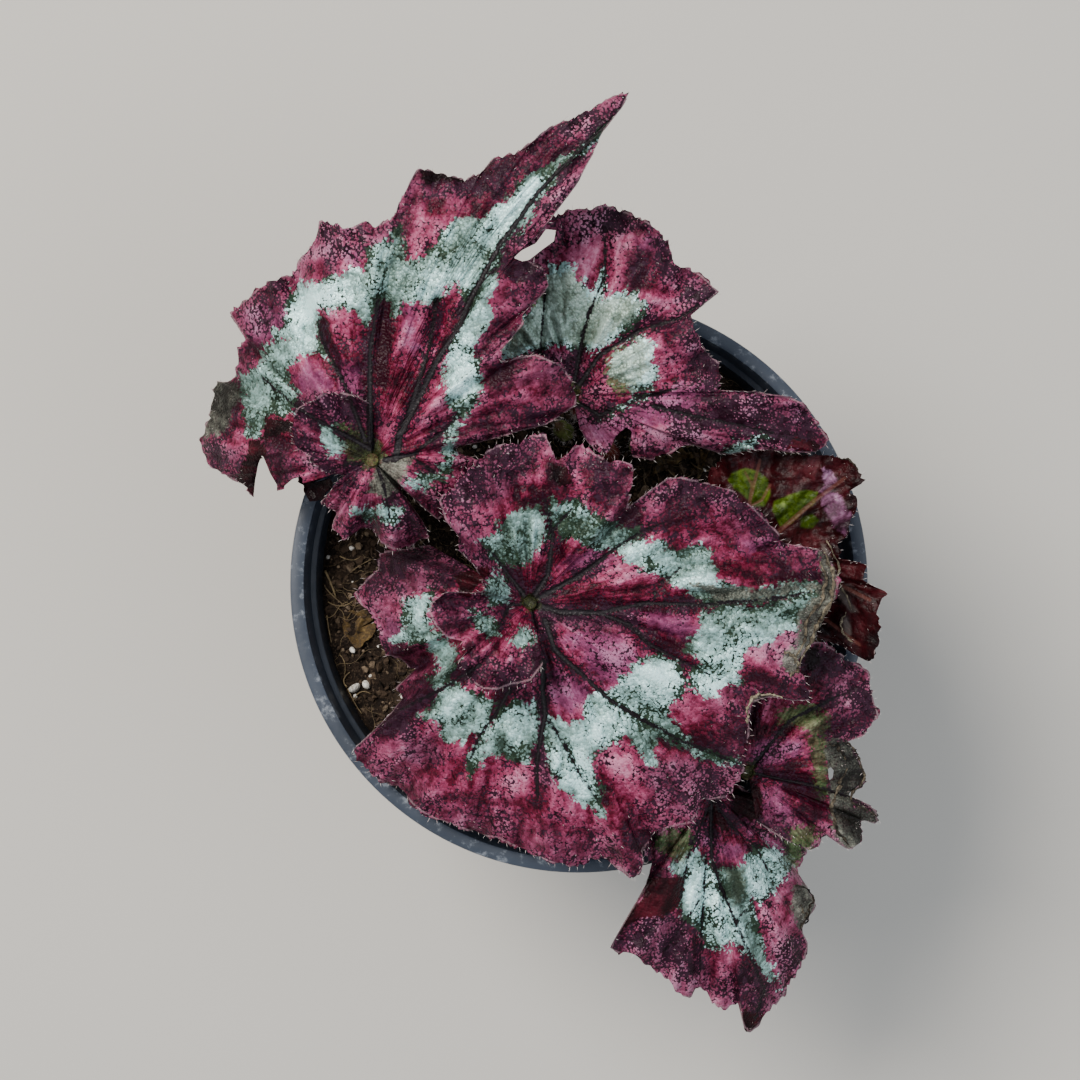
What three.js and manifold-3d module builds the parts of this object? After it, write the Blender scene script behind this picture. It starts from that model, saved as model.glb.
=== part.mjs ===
// Potted rex begonia: six lobed leaves on stalks, in a 155 mm nursery pot.
// Millimetres, +Z up. The origin is the centre of the pot's underside.
import * as THREE from 'three';
import { mergeVertices } from 'three/addons/utils/BufferGeometryUtils.js';
import Module from 'manifold-3d';

const wasm = await Module();
wasm.setup();

const MERGE_DISTANCE = 1e-4;

// ---- Pot -------------------------------------------------------------------
const POT_HEIGHT = 125;
const RIM_RADIUS = 77.5; // outside of the hanging skirt
const LIP_RADIUS = 73.7; // inner edge of the flat lip
const LEDGE_DEPTH = 9; // the step inside the mouth, below the lip
const LEDGE_RADIUS = 72.9;
const THROAT_RADIUS = 71.2; // inner wall just under the step
const SKIRT_HEIGHT = 12;
const LIP_THICKNESS = 2.6;
const LIP_ROUND = 0.7;
const LEDGE_SLOPE = 0.2;
const WALL = 1.3;
const BASE_RADIUS = 56;
const FLOOR_THICKNESS = 1.8;
const FOOT_CHAMFER = 1.2;
const POT_SIDES = 48;
const DRAIN_RADIUS = 5;
const DRAIN_RING = 42;
const DRAIN_COUNT = 8;
const DRAIN_SIDES = 12;

// ---- Soil ------------------------------------------------------------------
const GAP = 0.3; // between pieces that touch
const SOIL_DEPTH = 17; // below the lip
const SOIL_MOUND = 2.5; // higher round the crown than at the wall
const SOIL_BUMP = 0.8;
const SOIL_WAVES = [0.31, 0.27, 0.12, 0.53]; // radians a millimetre
const SOIL_CLEARANCE = 0.65; // at the foot of the slanted wall, which leaves GAP across it
const SOIL_EDGE = 1.6; // how far the soil's upper edge stays inside the throat
const SOIL_RINGS = 5;
const SOIL_SIDES = 30;

// ---- Leaves ----------------------------------------------------------------
const BLADE_THICKNESS = 1.0;
const HUB_RADIUS = 3; // where the blade's cells start
const BOSS_RADIUS = 4.2; // the thick place where the stalk meets the blade
const BOSS_SIDES = 12;
const BOSS_CONE = 1.4; // height of the cone that narrows to the stalk
const BOSS_ROUND = 0.5;
const SPIRAL_BOSS = { below: 4.2, above: 1.6 };
const FLAT_BOSS = { below: 2.4, above: 0.5 };
const LEAST_STEP = 0.8; // degrees between two neighbouring margin points
const SPIRAL_RISE_HUB = 2.4; // one turn of a spiral leaf climbs this much at the hub
const SPIRAL_RISE_RIM = 6; // and this much further out
const SPIRAL_OPEN_RADIUS = 30;
const VEIN_DEPTH = 1.3;
const VEIN_WIDTH = 3.2;
const VEIN_START = 0.1; // keeps some of a vein's groove at the hub
const SLOPE_POWER = 1.35; // above 1, a blade leaves its hub level and droops later
const FULL_ARCH_REACH = 150; // pixels: a shorter lobe arches less
const STALK_RADIUS = 2.6;
const STALK_TOP_RADIUS = 2.1;
const STALK_SIDES = 8;
const STALK_STEPS = 14;
const STALK_SINK = 14; // how deep a stalk stands in the soil
const STALK_UPRIGHT = 3; // its last stretch, under the boss

// The margins were read from straight above, as pixels of a square picture that is
// 1080 wide: the eye stands EYE_HEIGHT above the lip, over the picture's centre.
const PICTURE_CENTRE = 540;
const MM_PER_PIXEL = 0.268; // at the height of the lip
const POT_CENTRE_PIXEL = [579, 584];
const EYE_HEIGHT = 650;
const SOIL_RISE = -16; // the soil's height round the crown, against the lip

// hub: the pixel where the stalk meets the blade.  rise: millimetres above the lip.
// turn: +1 where the margin is listed clockwise in the picture, -1 where it isn't.
// columns: cells from the hub to the margin.  bend: how far the lines from the hub to the
// margin curve, in degrees for each pixel.
// marginRise: degrees along the margin from its first point, and the rise there.
const BLADES = {
  blade_front: {
    hub: [530, 603],
    hubRise: 38,
    turn: 1,
    bend: 0,
    columns: 5,
    arch: 4,
    ripple: 1.6,
    ripples: 13,
    marginRise: [[0, 44], [50, 48], [97, 48], [130, 48], [160, 51], [190, 50], [225, 49], [248, 44],
      [265, 37], [285, 34], [308, 33], [330, 26], [350, 21], [380, 15], [405, 11], [425, 13], [455, 15],
      [480, 20]],
    margin: [[543, 663], [530, 680], [510, 684], [497, 689], [483, 688], [472, 681], [462, 673],
      [458, 662], [466, 651], [455, 640], [445, 635], [436, 625], [430, 612], [432, 602], [445, 592],
      [482, 592], [482, 580], [474, 566], [458, 550], [457, 535], [447, 522], [443, 510], [440, 500],
      [450, 486], [460, 475], [474, 461], [490, 450], [505, 443], [520, 440], [532, 436], [545, 435],
      [556, 458], [568, 451], [580, 445], [600, 458], [620, 460], [632, 465], [635, 475], [631, 492],
      [627, 508], [641, 497], [654, 486], [667, 477], [678, 477], [690, 480], [702, 482], [715, 485],
      [735, 492], [755, 510], [775, 530], [786, 543], [800, 546], [826, 551], [836, 573], [838, 585],
      [832, 603], [825, 620], [815, 640], [803, 652], [800, 665], [808, 683], [812, 700], [795, 701],
      [770, 697], [750, 702], [749, 720], [748, 740], [745, 760], [742, 775], [728, 796], [705, 800],
      [697, 812], [690, 822], [665, 828], [650, 840], [642, 850], [646, 864], [634, 880], [620, 868],
      [600, 860], [580, 868], [560, 865], [545, 859], [530, 855], [515, 846], [500, 838], [480, 835],
      [455, 825], [437, 819], [420, 810], [400, 790], [375, 778], [355, 762], [351, 752], [378, 729],
      [392, 712], [400, 700], [396, 688], [412, 671], [400, 658], [385, 655], [378, 640], [372, 620],
      [362, 605], [355, 592], [370, 577], [378, 570], [380, 553], [405, 549], [430, 545]],
    veins: [[[530, 603], [600, 613], [700, 605], [820, 590]], [[605, 613], [650, 645], [720, 680]],
      [[530, 603], [490, 550]], [[530, 603], [553, 540], [545, 500]], [[530, 603], [620, 545], [665, 522]],
      [[545, 640], [610, 700], [680, 740], [742, 765]], [[543, 663], [545, 715], [537, 800]],
      [[545, 715], [595, 800]], [[520, 680], [480, 735], [470, 760]], [[480, 665], [400, 710]]],
  },
  blade_back_left: {
    hub: [372, 460],
    hubRise: 46,
    turn: -1,
    columns: 5,
    arch: 5,
    ripple: 1.5,
    ripples: 12,
    bend: 0.03,
    marginRise: [[0, 53], [50, 54], [100, 50], [115, 46], [130, 37], [180, 34], [215, 34], [228, 38],
      [250, 41], [272, 43], [285, 47], [300, 52], [330, 64], [345, 60], [360, 57], [375, 51], [390, 42],
      [405, 33], [425, 26], [450, 24], [468, 30]],
    margin: [[369, 403], [357, 396], [345, 394], [332, 390], [320, 397], [309, 402], [299, 407],
      [290, 422], [290, 436], [295, 448], [310, 456], [308, 461], [315, 465], [328, 475], [341, 475],
      [335, 483], [327, 494], [320, 503], [326, 511], [335, 515], [331, 527], [342, 541], [360, 533],
      [372, 530], [381, 542], [392, 548], [403, 550], [420, 541], [430, 537], [424, 522], [412, 507],
      [401, 493], [403, 489], [418, 503], [431, 515], [436, 520], [445, 515], [460, 500], [475, 480],
      [482, 462], [456, 448], [481, 442], [500, 437], [520, 431], [545, 425], [562, 415], [575, 405],
      [577, 395], [575, 385], [560, 365], [535, 355], [518, 358], [503, 362], [502, 350], [513, 337],
      [522, 325], [524, 313], [542, 295], [549, 285], [545, 270], [533, 264], [522, 256], [545, 232],
      [566, 212], [577, 186], [590, 178], [600, 165], [610, 155], [612, 140], [630, 112], [645, 105],
      [624, 97], [606, 103], [590, 112], [570, 118], [556, 124], [548, 138], [541, 154], [520, 154],
      [494, 157], [489, 178], [480, 177], [465, 180], [441, 172], [418, 168], [411, 184], [402, 196],
      [392, 218], [378, 226], [366, 220], [352, 228], [335, 221], [320, 221], [314, 240], [304, 254],
      [290, 276], [272, 277], [250, 297], [230, 313], [243, 328], [246, 338], [238, 348], [235, 370],
      [228, 381], [214, 381], [211, 400], [208, 420], [198, 440], [206, 464], [220, 473], [235, 480],
      [253, 497]],
    veins: [[[372, 460], [400, 435], [440, 355], [470, 300], [540, 190], [645, 105]],
      [[372, 440], [345, 385], [322, 330]], [[370, 420], [370, 350], [378, 300]],
      [[410, 410], [430, 345], [436, 300]], [[372, 460], [412, 455], [458, 415]], [[412, 457], [435, 473]],
      [[372, 450], [300, 410], [262, 378]], [[372, 460], [385, 490], [400, 530]]],
  },
  blade_back_right: {
    hub: [572, 395],
    hubRise: 27,
    turn: 1,
    bend: 0,
    columns: 4,
    arch: 4,
    ripple: 1.6,
    ripples: 11,
    marginRise: [[0, 22], [30, 20], [80, 22], [120, 32], [150, 38], [175, 39], [200, 35], [228, 31],
      [242, 28], [258, 24], [275, 26], [300, 28], [320, 29]],
    margin: [[556, 418], [530, 420], [505, 405], [487, 380], [478, 350], [480, 318], [492, 285],
      [510, 255], [532, 230], [553, 215], [575, 208], [589, 210], [605, 206], [618, 210], [636, 216],
      [655, 227], [669, 239], [671, 250], [675, 262], [687, 268], [700, 275], [709, 283], [718, 292],
      [703, 305], [692, 316], [697, 330], [705, 350], [720, 365], [722, 380], [721, 390], [755, 391],
      [770, 394], [786, 397], [800, 402], [811, 413], [818, 425], [828, 440], [822, 452], [795, 453],
      [775, 449], [764, 446], [754, 447], [745, 452], [725, 455], [700, 445], [690, 441], [677, 449],
      [665, 455], [650, 460], [632, 456], [615, 456], [600, 455], [588, 443], [580, 430]],
    veins: [[[572, 395], [600, 355], [640, 330], [712, 295]], [[572, 395], [583, 335], [605, 275],
      [606, 230]],
      [[572, 395], [540, 355], [545, 290]], [[572, 395], [640, 398], [690, 385]],
      [[640, 398], [720, 420], [800, 440]]],
  },
  blade_turned: {
    look: 'underside',
    hub: [740, 556],
    hubRise: 14,
    turn: 1,
    bend: 0,
    columns: 4,
    arch: 2,
    ripple: 1.2,
    ripples: 9,
    marginRise: [[0, 14], [70, 12], [140, 17], [180, 21], [215, 27], [235, 27], [260, 22], [300, 20],
      [340, 12]],
    margin: [[722, 572], [705, 560], [697, 535], [700, 505], [708, 478], [722, 458], [742, 445],
      [760, 438], [780, 450], [800, 453], [820, 455], [836, 458], [850, 463], [867, 479], [852, 490],
      [856, 508], [850, 520], [847, 536], [838, 545], [840, 558], [868, 565], [865, 580], [877, 587],
      [888, 594], [882, 604], [878, 630], [880, 642], [873, 663], [855, 655], [845, 645], [820, 640],
      [795, 622], [770, 605], [752, 590], [742, 578]],
    veins: [[[740, 556], [778, 532], [815, 500], [845, 478]], [[740, 556], [750, 500], [760, 460]],
      [[740, 556], [810, 570], [870, 600]], [[740, 556], [800, 600], [860, 645]]],
  },
  blade_right: {
    hub: [748, 772],
    hubRise: 13,
    turn: 1,
    bend: 0,
    columns: 4,
    arch: 3,
    ripple: 1.5,
    ripples: 10,
    marginRise: [[0, 12], [60, 17], [100, 17], [135, 13], [160, 9], [190, 6], [215, 8], [245, 12]],
    margin: [[722, 768], [702, 745], [706, 715], [722, 690], [745, 668], [770, 655], [795, 646],
      [820, 642], [836, 651], [850, 660], [868, 672], [872, 686], [873, 700], [878, 715], [865, 735],
      [847, 741], [856, 752], [862, 768], [866, 780], [850, 795], [863, 801], [875, 810], [878, 824],
      [862, 821], [864, 842], [850, 850], [840, 845], [830, 834], [818, 842], [808, 849], [796, 846],
      [783, 838], [768, 829], [757, 822]],
    veins: [[[748, 772], [810, 785], [860, 800]], [[748, 772], [790, 720], [850, 690]],
      [[748, 772], [800, 845]]],
  },
  blade_low_front: {
    hub: [712, 790],
    hubRise: 8,
    turn: -1,
    bend: 0,
    columns: 4,
    arch: 3,
    ripple: 1.6,
    ripples: 10,
    marginRise: [[0, 7], [60, 8], [120, 7], [137, 5], [149, -4], [160, -12], [190, -20], [215, -13],
      [240, 3], [256, 10], [290, 10], [320, 9]],
    margin: [[704, 768], [690, 762], [668, 768], [652, 785], [642, 808], [640, 832], [645, 852],
      [650, 868], [645, 885], [630, 912], [610, 938], [610, 949], [628, 955], [650, 968], [665, 978],
      [678, 995], [690, 997], [700, 987], [712, 1003], [725, 1008], [738, 1005], [743, 1026],
      [750, 1032], [760, 1024], [770, 1012], [787, 990], [800, 970], [808, 945], [799, 934], [808, 922],
      [816, 905], [808, 888], [799, 872], [806, 855], [808, 835], [800, 812], [782, 802], [764, 797],
      [742, 790], [734, 778], [722, 770]],
    veins: [[[712, 790], [712, 870], [735, 920], [750, 1020]], [[712, 790], [755, 845], [790, 920]],
      [[712, 790], [680, 880], [640, 940]]],
  },
};

// Each stalk: the pixel where it leaves the soil, then the pixels and rises it passes on
// its way to the hub of its blade.
const STALKS = {
  stalk_front: { blade: 'blade_front', foot: [574, 522], via: [[556, 556, 8], [538, 590, 24]] },
  stalk_back_left: {
    blade: 'blade_back_left', foot: [530, 488], via: [[490, 484, 4], [420, 470, 26], [380, 462, 36]],
  },
  stalk_back_right: { blade: 'blade_back_right', foot: [612, 456], via: [[596, 430, -2], [576, 404, 14]] },
  stalk_turned: { blade: 'blade_turned', foot: [656, 503], via: [[684, 522, -6], [724, 548, 0], [738, 555, 6]] },
  stalk_right: { blade: 'blade_right', foot: [668, 550], via: [[700, 630, 2], [738, 724, 4], [747, 766, 5]] },
  stalk_low_front: {
    blade: 'blade_low_front', foot: [598, 562], via: [[634, 650, -4], [690, 744, -5], [710, 784, -2]],
  },
};

// The rhizome lies along these pixels, half in the soil.
const RHIZOME_LINE = [[548, 462], [572, 470], [606, 500], [626, 526], [638, 575]];
const RHIZOME_RADIUS = 5;
const RHIZOME_KNOBS = 9;
const RHIZOME_KNOB = 0.9;
const RHIZOME_BLUNT = 0.12; // 0 would thin its ends to nothing
const RHIZOME_STEPS = 28;
const RHIZOME_SIDES = 10;

const YOUNG_LEAVES = {
  young_leaf_1: { foot: [568, 436], tip: [557, 424], length: 15, radius: 2.6 },
  young_leaf_2: { foot: [634, 450], tip: [645, 434], length: 13, radius: 2.3 },
};
const YOUNG_LEAF_SINK = 8;
const YOUNG_LEAF_ARCH = 2;
const YOUNG_LEAF_STEPS = 14;
const YOUNG_STALK_RADIUS = 1.3;
const BUD_START = 0.4; // share of the length that is stalk
const BUD_POINT = 0.6; // how much thinner the tip is

const LOOKS = {
  pot: { color: 0x1b2029, roughness: 0.45, metalness: 0 },
  soil: { color: 0x33261b, roughness: 1, metalness: 0 },
  rhizome: { color: 0x5a3a28, roughness: 0.9, metalness: 0 },
  stalk: { color: 0x6b2a2a, roughness: 0.7, metalness: 0 },
  young: { color: 0x6f7a35, roughness: 0.7, metalness: 0 },
  blade: { color: 0xa03a52, roughness: 0.5, metalness: 0 },
  underside: { color: 0x451012, roughness: 0.5, metalness: 0 },
};

const plant = new THREE.Group();
plant.name = 'potted_rex_begonia';

// ---- Shared steps ----------------------------------------------------------
function addPiece(name, geometry, look) {
  const mesh = new THREE.Mesh(geometry, new THREE.MeshStandardMaterial(LOOKS[look]));
  mesh.name = name;
  plant.add(mesh);
}

function toSolid(geometry) {
  const bare = geometry.clone();
  bare.deleteAttribute('normal');
  bare.deleteAttribute('uv');
  const merged = mergeVertices(bare, MERGE_DISTANCE);
  const mesh = new wasm.Mesh({
    numProp: 3,
    vertProperties: new Float32Array(merged.attributes.position.array),
    triVerts: new Uint32Array(merged.index.array),
  });
  return new wasm.Manifold(mesh);
}

function toGeometry(solid) {
  const mesh = solid.getMesh();
  const geometry = new THREE.BufferGeometry();
  geometry.setAttribute('position', new THREE.BufferAttribute(new Float32Array(mesh.vertProperties), 3));
  geometry.setIndex(new THREE.BufferAttribute(new Uint32Array(mesh.triVerts), 1));
  return geometry;
}

function fromLists(positions, index) {
  const geometry = new THREE.BufferGeometry();
  geometry.setAttribute('position', new THREE.Float32BufferAttribute(positions, 3));
  geometry.setIndex(index);
  return geometry;
}

// A lathe round +Z from [radius, height] pairs.
function lathe(profile, sides) {
  const points = profile.map(([radius, height]) => new THREE.Vector2(radius, height));
  return new THREE.LatheGeometry(points, sides).rotateX(Math.PI / 2);
}

// The point in space that a pixel shows at a given rise above the lip.
function pointAt([px, py], rise) {
  const eyeX = (PICTURE_CENTRE - POT_CENTRE_PIXEL[0]) * MM_PER_PIXEL;
  const eyeY = (POT_CENTRE_PIXEL[1] - PICTURE_CENTRE) * MM_PER_PIXEL;
  const scale = MM_PER_PIXEL * (EYE_HEIGHT - rise) / EYE_HEIGHT;
  return new THREE.Vector3(
    eyeX + (px - PICTURE_CENTRE) * scale,
    eyeY - (py - PICTURE_CENTRE) * scale,
    POT_HEIGHT + rise,
  );
}

// Smooth value between [place, value] pairs.
function along(pairs, place) {
  const last = pairs.length - 1;
  if (place <= pairs[0][0]) return pairs[0][1];
  if (place >= pairs[last][0]) return pairs[last][1];
  const i = pairs.findIndex(([at]) => at > place) - 1;
  const t = (place - pairs[i][0]) / (pairs[i + 1][0] - pairs[i][0]);
  return THREE.MathUtils.lerp(pairs[i][1], pairs[i + 1][1], THREE.MathUtils.smoothstep(t, 0, 1));
}

// Rings of points joined into a closed skin, with a fan at each end.
function skinRings(rings) {
  const sides = rings[0].length;
  const positions = rings.flat().flatMap((p) => [p.x, p.y, p.z]);
  const index = [];
  for (let i = 0; i < rings.length - 1; i += 1) {
    for (let j = 0; j < sides; j += 1) {
      const a = i * sides + j;
      const b = i * sides + (j + 1) % sides;
      index.push(a, b, b + sides, a, b + sides, a + sides);
    }
  }
  const lastRing = (rings.length - 1) * sides;
  for (let j = 1; j < sides - 1; j += 1) {
    index.push(0, j + 1, j);
    index.push(lastRing, lastRing + j, lastRing + j + 1);
  }
  return fromLists(positions, index);
}

// A round tube along a curve, with its radius given for each place from 0 to 1.
function taperedTube(curve, radiusAt, steps, sides) {
  const frames = curve.computeFrenetFrames(steps, false);
  const rings = [];
  for (let i = 0; i <= steps; i += 1) {
    const centre = curve.getPointAt(i / steps);
    const radius = radiusAt(i / steps);
    const ring = [];
    for (let j = 0; j < sides; j += 1) {
      const angle = 2 * Math.PI * j / sides;
      ring.push(centre.clone()
        .addScaledVector(frames.normals[i], radius * Math.cos(angle))
        .addScaledVector(frames.binormals[i], radius * Math.sin(angle)));
    }
    rings.push(ring);
  }
  return skinRings(rings);
}

// ---- Pot -------------------------------------------------------------------
// Half of the pot's cross-section, from the middle of the underside round to the
// middle of the floor's upper side.
function potProfile() {
  const top = POT_HEIGHT;
  const ledge = top - LEDGE_DEPTH;
  const neck = top - SKIRT_HEIGHT;
  const neckRadius = THROAT_RADIUS + WALL;
  const lipUnder = top - LIP_THICKNESS;
  return [
    [0, 0], [BASE_RADIUS - FOOT_CHAMFER, 0], [BASE_RADIUS, FOOT_CHAMFER],
    [neckRadius, neck], [neckRadius, ledge - WALL], [LEDGE_RADIUS + WALL, ledge],
    [LIP_RADIUS + WALL, lipUnder], [RIM_RADIUS - WALL, lipUnder], [RIM_RADIUS - WALL, neck],
    [RIM_RADIUS, neck], [RIM_RADIUS, top - LIP_ROUND], [RIM_RADIUS - LIP_ROUND, top],
    [LIP_RADIUS + LIP_ROUND, top], [LIP_RADIUS, top - LIP_ROUND],
    [LEDGE_RADIUS, ledge], [THROAT_RADIUS, ledge - LEDGE_SLOPE],
    [THROAT_RADIUS - LEDGE_SLOPE, neck], [BASE_RADIUS - WALL, FLOOR_THICKNESS], [0, FLOOR_THICKNESS],
  ];
}

function makePot() {
  let pot = toSolid(lathe(potProfile(), POT_SIDES));
  const drillLength = 4 * FLOOR_THICKNESS;
  for (let i = 0; i < DRAIN_COUNT; i += 1) {
    const angle = 2 * Math.PI * (i + 0.5) / DRAIN_COUNT;
    const drill = new THREE.CylinderGeometry(DRAIN_RADIUS, DRAIN_RADIUS, drillLength, DRAIN_SIDES);
    drill.rotateX(Math.PI / 2);
    drill.translate(DRAIN_RING * Math.cos(angle), DRAIN_RING * Math.sin(angle), 0);
    pot = pot.subtract(toSolid(drill));
  }
  addPiece('pot', toGeometry(pot), 'pot');
}

// ---- Soil ------------------------------------------------------------------
// The soil's top: mounded round the crown, uneven, and level with itself at the wall.
function soilTop(x, y) {
  const reach = Math.hypot(x, y) / THROAT_RADIUS;
  const wide = Math.sin(x * SOIL_WAVES[0] + 1) * Math.cos(y * SOIL_WAVES[1]);
  const slant = Math.sin(x * SOIL_WAVES[2] - y * SOIL_WAVES[3]);
  const mound = SOIL_MOUND * (1 - reach ** 2);
  return POT_HEIGHT - SOIL_DEPTH + mound + SOIL_BUMP * (wide + slant / 2) * (1 - reach ** 6);
}

function soilRing(radius, heightAt) {
  const ring = [];
  for (let j = 0; j < SOIL_SIDES; j += 1) {
    const angle = 2 * Math.PI * j / SOIL_SIDES;
    const x = radius * Math.cos(angle);
    const y = radius * Math.sin(angle);
    ring.push(new THREE.Vector3(x, y, heightAt(x, y)));
  }
  return ring;
}

function soilBlank() {
  const rings = [soilRing(BASE_RADIUS - WALL - SOIL_CLEARANCE, () => FLOOR_THICKNESS + GAP)];
  const edge = THROAT_RADIUS - SOIL_EDGE;
  for (let k = 0; k < SOIL_RINGS; k += 1) {
    rings.push(soilRing(edge * (1 - k / SOIL_RINGS), soilTop));
  }
  return skinRings(rings);
}

// ---- Rhizome, stalks and young leaves --------------------------------------
// A knobbly stem that thins at both ends. extra widens it, for its place in the soil.
function rhizomeTube(extra) {
  const points = RHIZOME_LINE.map((pixel) => pointAt(pixel, SOIL_RISE));
  const radiusAt = (t) => {
    const taper = Math.sqrt(Math.sin(Math.PI * THREE.MathUtils.lerp(RHIZOME_BLUNT, 1 - RHIZOME_BLUNT, t)));
    return RHIZOME_RADIUS * taper + RHIZOME_KNOB * Math.cos(2 * Math.PI * RHIZOME_KNOBS * t) + extra;
  };
  return taperedTube(new THREE.CatmullRomCurve3(points), radiusAt, RHIZOME_STEPS, RHIZOME_SIDES);
}

// From its foot in the soil, past its own points, and upright into its blade's boss.
function stalkCurve({ blade, foot, via }) {
  const { hub, hubRise } = BLADES[blade];
  const top = pointAt(hub, hubRise);
  top.z -= bossSize(blade).below + GAP;
  const points = [
    pointAt(foot, SOIL_RISE).add(new THREE.Vector3(0, 0, -STALK_SINK)),
    pointAt(foot, SOIL_RISE),
    ...via.map(([px, py, rise]) => pointAt([px, py], rise)),
    top.clone().add(new THREE.Vector3(0, 0, -STALK_UPRIGHT)),
    top,
  ];
  return new THREE.CatmullRomCurve3(points, false, 'centripetal');
}

function stalkTube(stalk, extra) {
  const radiusAt = (t) => THREE.MathUtils.lerp(STALK_RADIUS, STALK_TOP_RADIUS, t) + extra;
  return taperedTube(stalkCurve(stalk), radiusAt, STALK_STEPS, STALK_SIDES);
}

// A rolled young leaf: a thin stalk that swells into a pointed bud.
function youngLeafTube({ foot, tip, length, radius }, extra) {
  const root = pointAt(foot, SOIL_RISE);
  const end = pointAt(tip, SOIL_RISE + length);
  const middle = root.clone().lerp(end, 0.5).add(new THREE.Vector3(0, 0, YOUNG_LEAF_ARCH));
  const below = root.clone().add(new THREE.Vector3(0, 0, -YOUNG_LEAF_SINK));
  const curve = new THREE.CatmullRomCurve3([below, root, middle, end]);
  const radiusAt = (t) => {
    const swell = Math.sin(Math.PI * Math.max(0, t - BUD_START) / (1 - BUD_START));
    const point = YOUNG_STALK_RADIUS * BUD_POINT * t ** 8;
    return YOUNG_STALK_RADIUS + (radius - YOUNG_STALK_RADIUS) * swell - point + extra;
  };
  return taperedTube(curve, radiusAt, YOUNG_LEAF_STEPS, STALK_SIDES);
}

// Everything that stands in the soil, and the soil with a plain hole for each.
function makeRootedPieces() {
  const rooted = [['rhizome', rhizomeTube, 'rhizome']];
  Object.entries(STALKS).forEach(([name, stalk]) => {
    rooted.push([name, (extra) => stalkTube(stalk, extra), 'stalk']);
  });
  Object.entries(YOUNG_LEAVES).forEach(([name, leaf]) => {
    rooted.push([name, (extra) => youngLeafTube(leaf, extra), 'young']);
  });
  let soil = toSolid(soilBlank());
  rooted.forEach(([name, tube, look]) => {
    addPiece(name, tube(0), look);
    soil = soil.subtract(toSolid(tube(GAP)));
  });
  // a crumb cut loose between two holes is dropped
  const bodies = soil.decompose().sort((a, b) => b.volume() - a.volume());
  addPiece('soil', toGeometry(bodies[0]), 'soil');
}

// ---- Blades ----------------------------------------------------------------
// The margin in polar form round the hub: degrees from the first point, and pixels out.
// Where the margin folds back, a least step keeps the lines from the hub in order.
function traceMargin({ hub, turn, bend, margin }) {
  const corners = [];
  let turned = 0;
  let lastHeading = 0;
  let firstHeading = 0;
  margin.forEach(([px, py], i) => {
    const reach = Math.hypot(px - hub[0], py - hub[1]);
    const angle = Math.atan2(py - hub[1], px - hub[0]);
    const heading = turn * THREE.MathUtils.radToDeg(angle) + bend * reach;
    if (i === 0) {
      firstHeading = heading;
      corners.push({ degrees: 0, reach });
    } else {
      turned += THREE.MathUtils.euclideanModulo(heading - lastHeading + 180, 360) - 180;
      corners.push({ degrees: Math.max(turned, corners[i - 1].degrees + LEAST_STEP), reach });
    }
    lastHeading = heading;
  });
  return { corners, firstHeading, spiral: turned > 360 };
}

function pixelAt({ hub, turn, bend }, { firstHeading }, degrees, reach) {
  const angle = THREE.MathUtils.degToRad(turn * (firstHeading + degrees - bend * reach));
  return [hub[0] + reach * Math.cos(angle), hub[1] + reach * Math.sin(angle)];
}

function distanceToVeins(veins, [px, py]) {
  const point = new THREE.Vector3(px, py, 0);
  const nearest = new THREE.Vector3();
  let least = Infinity;
  veins.forEach((vein) => {
    for (let i = 0; i < vein.length - 1; i += 1) {
      const line = new THREE.Line3(new THREE.Vector3(...vein[i], 0), new THREE.Vector3(...vein[i + 1], 0));
      line.closestPointToPoint(point, true, nearest);
      least = Math.min(least, nearest.distanceTo(point));
    }
  });
  return least * MM_PER_PIXEL;
}

// A spiral leaf's surface sinks as it goes round, faster further from the hub.
function spiralDrop(spiral, degrees, millimetres) {
  if (!spiral) return 0;
  const open = THREE.MathUtils.clamp((millimetres - HUB_RADIUS) / SPIRAL_OPEN_RADIUS, 0, 1);
  return THREE.MathUtils.lerp(SPIRAL_RISE_HUB, SPIRAL_RISE_RIM, open) * (degrees / 360 - 0.5);
}

// v runs from 0 at the hub to 1 at the margin. The blade arches, ripples towards its
// margin, and is grooved along its veins.
function bladePoint(blade, trace, { degrees, reach }, v) {
  const pixels = THREE.MathUtils.lerp(HUB_RADIUS / MM_PER_PIXEL, reach, v);
  const pixel = pixelAt(blade, trace, degrees, pixels);
  const slope = (along(blade.marginRise, degrees) - blade.hubRise) * v ** SLOPE_POWER;
  const arch = blade.arch * 4 * v * (1 - v) * Math.min(1, reach / FULL_ARCH_REACH);
  const ripple = blade.ripple * v ** 3 * Math.sin(2 * Math.PI * blade.ripples * degrees / 360);
  const nearVein = Math.exp(-((distanceToVeins(blade.veins, pixel) / VEIN_WIDTH) ** 2));
  const groove = VEIN_DEPTH * nearVein * Math.sin(Math.PI * Math.min(1, v + VEIN_START));
  const drop = spiralDrop(trace.spiral, degrees, pixels * MM_PER_PIXEL);
  return pointAt(pixel, blade.hubRise + slope + arch + ripple - groove - drop);
}

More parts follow.
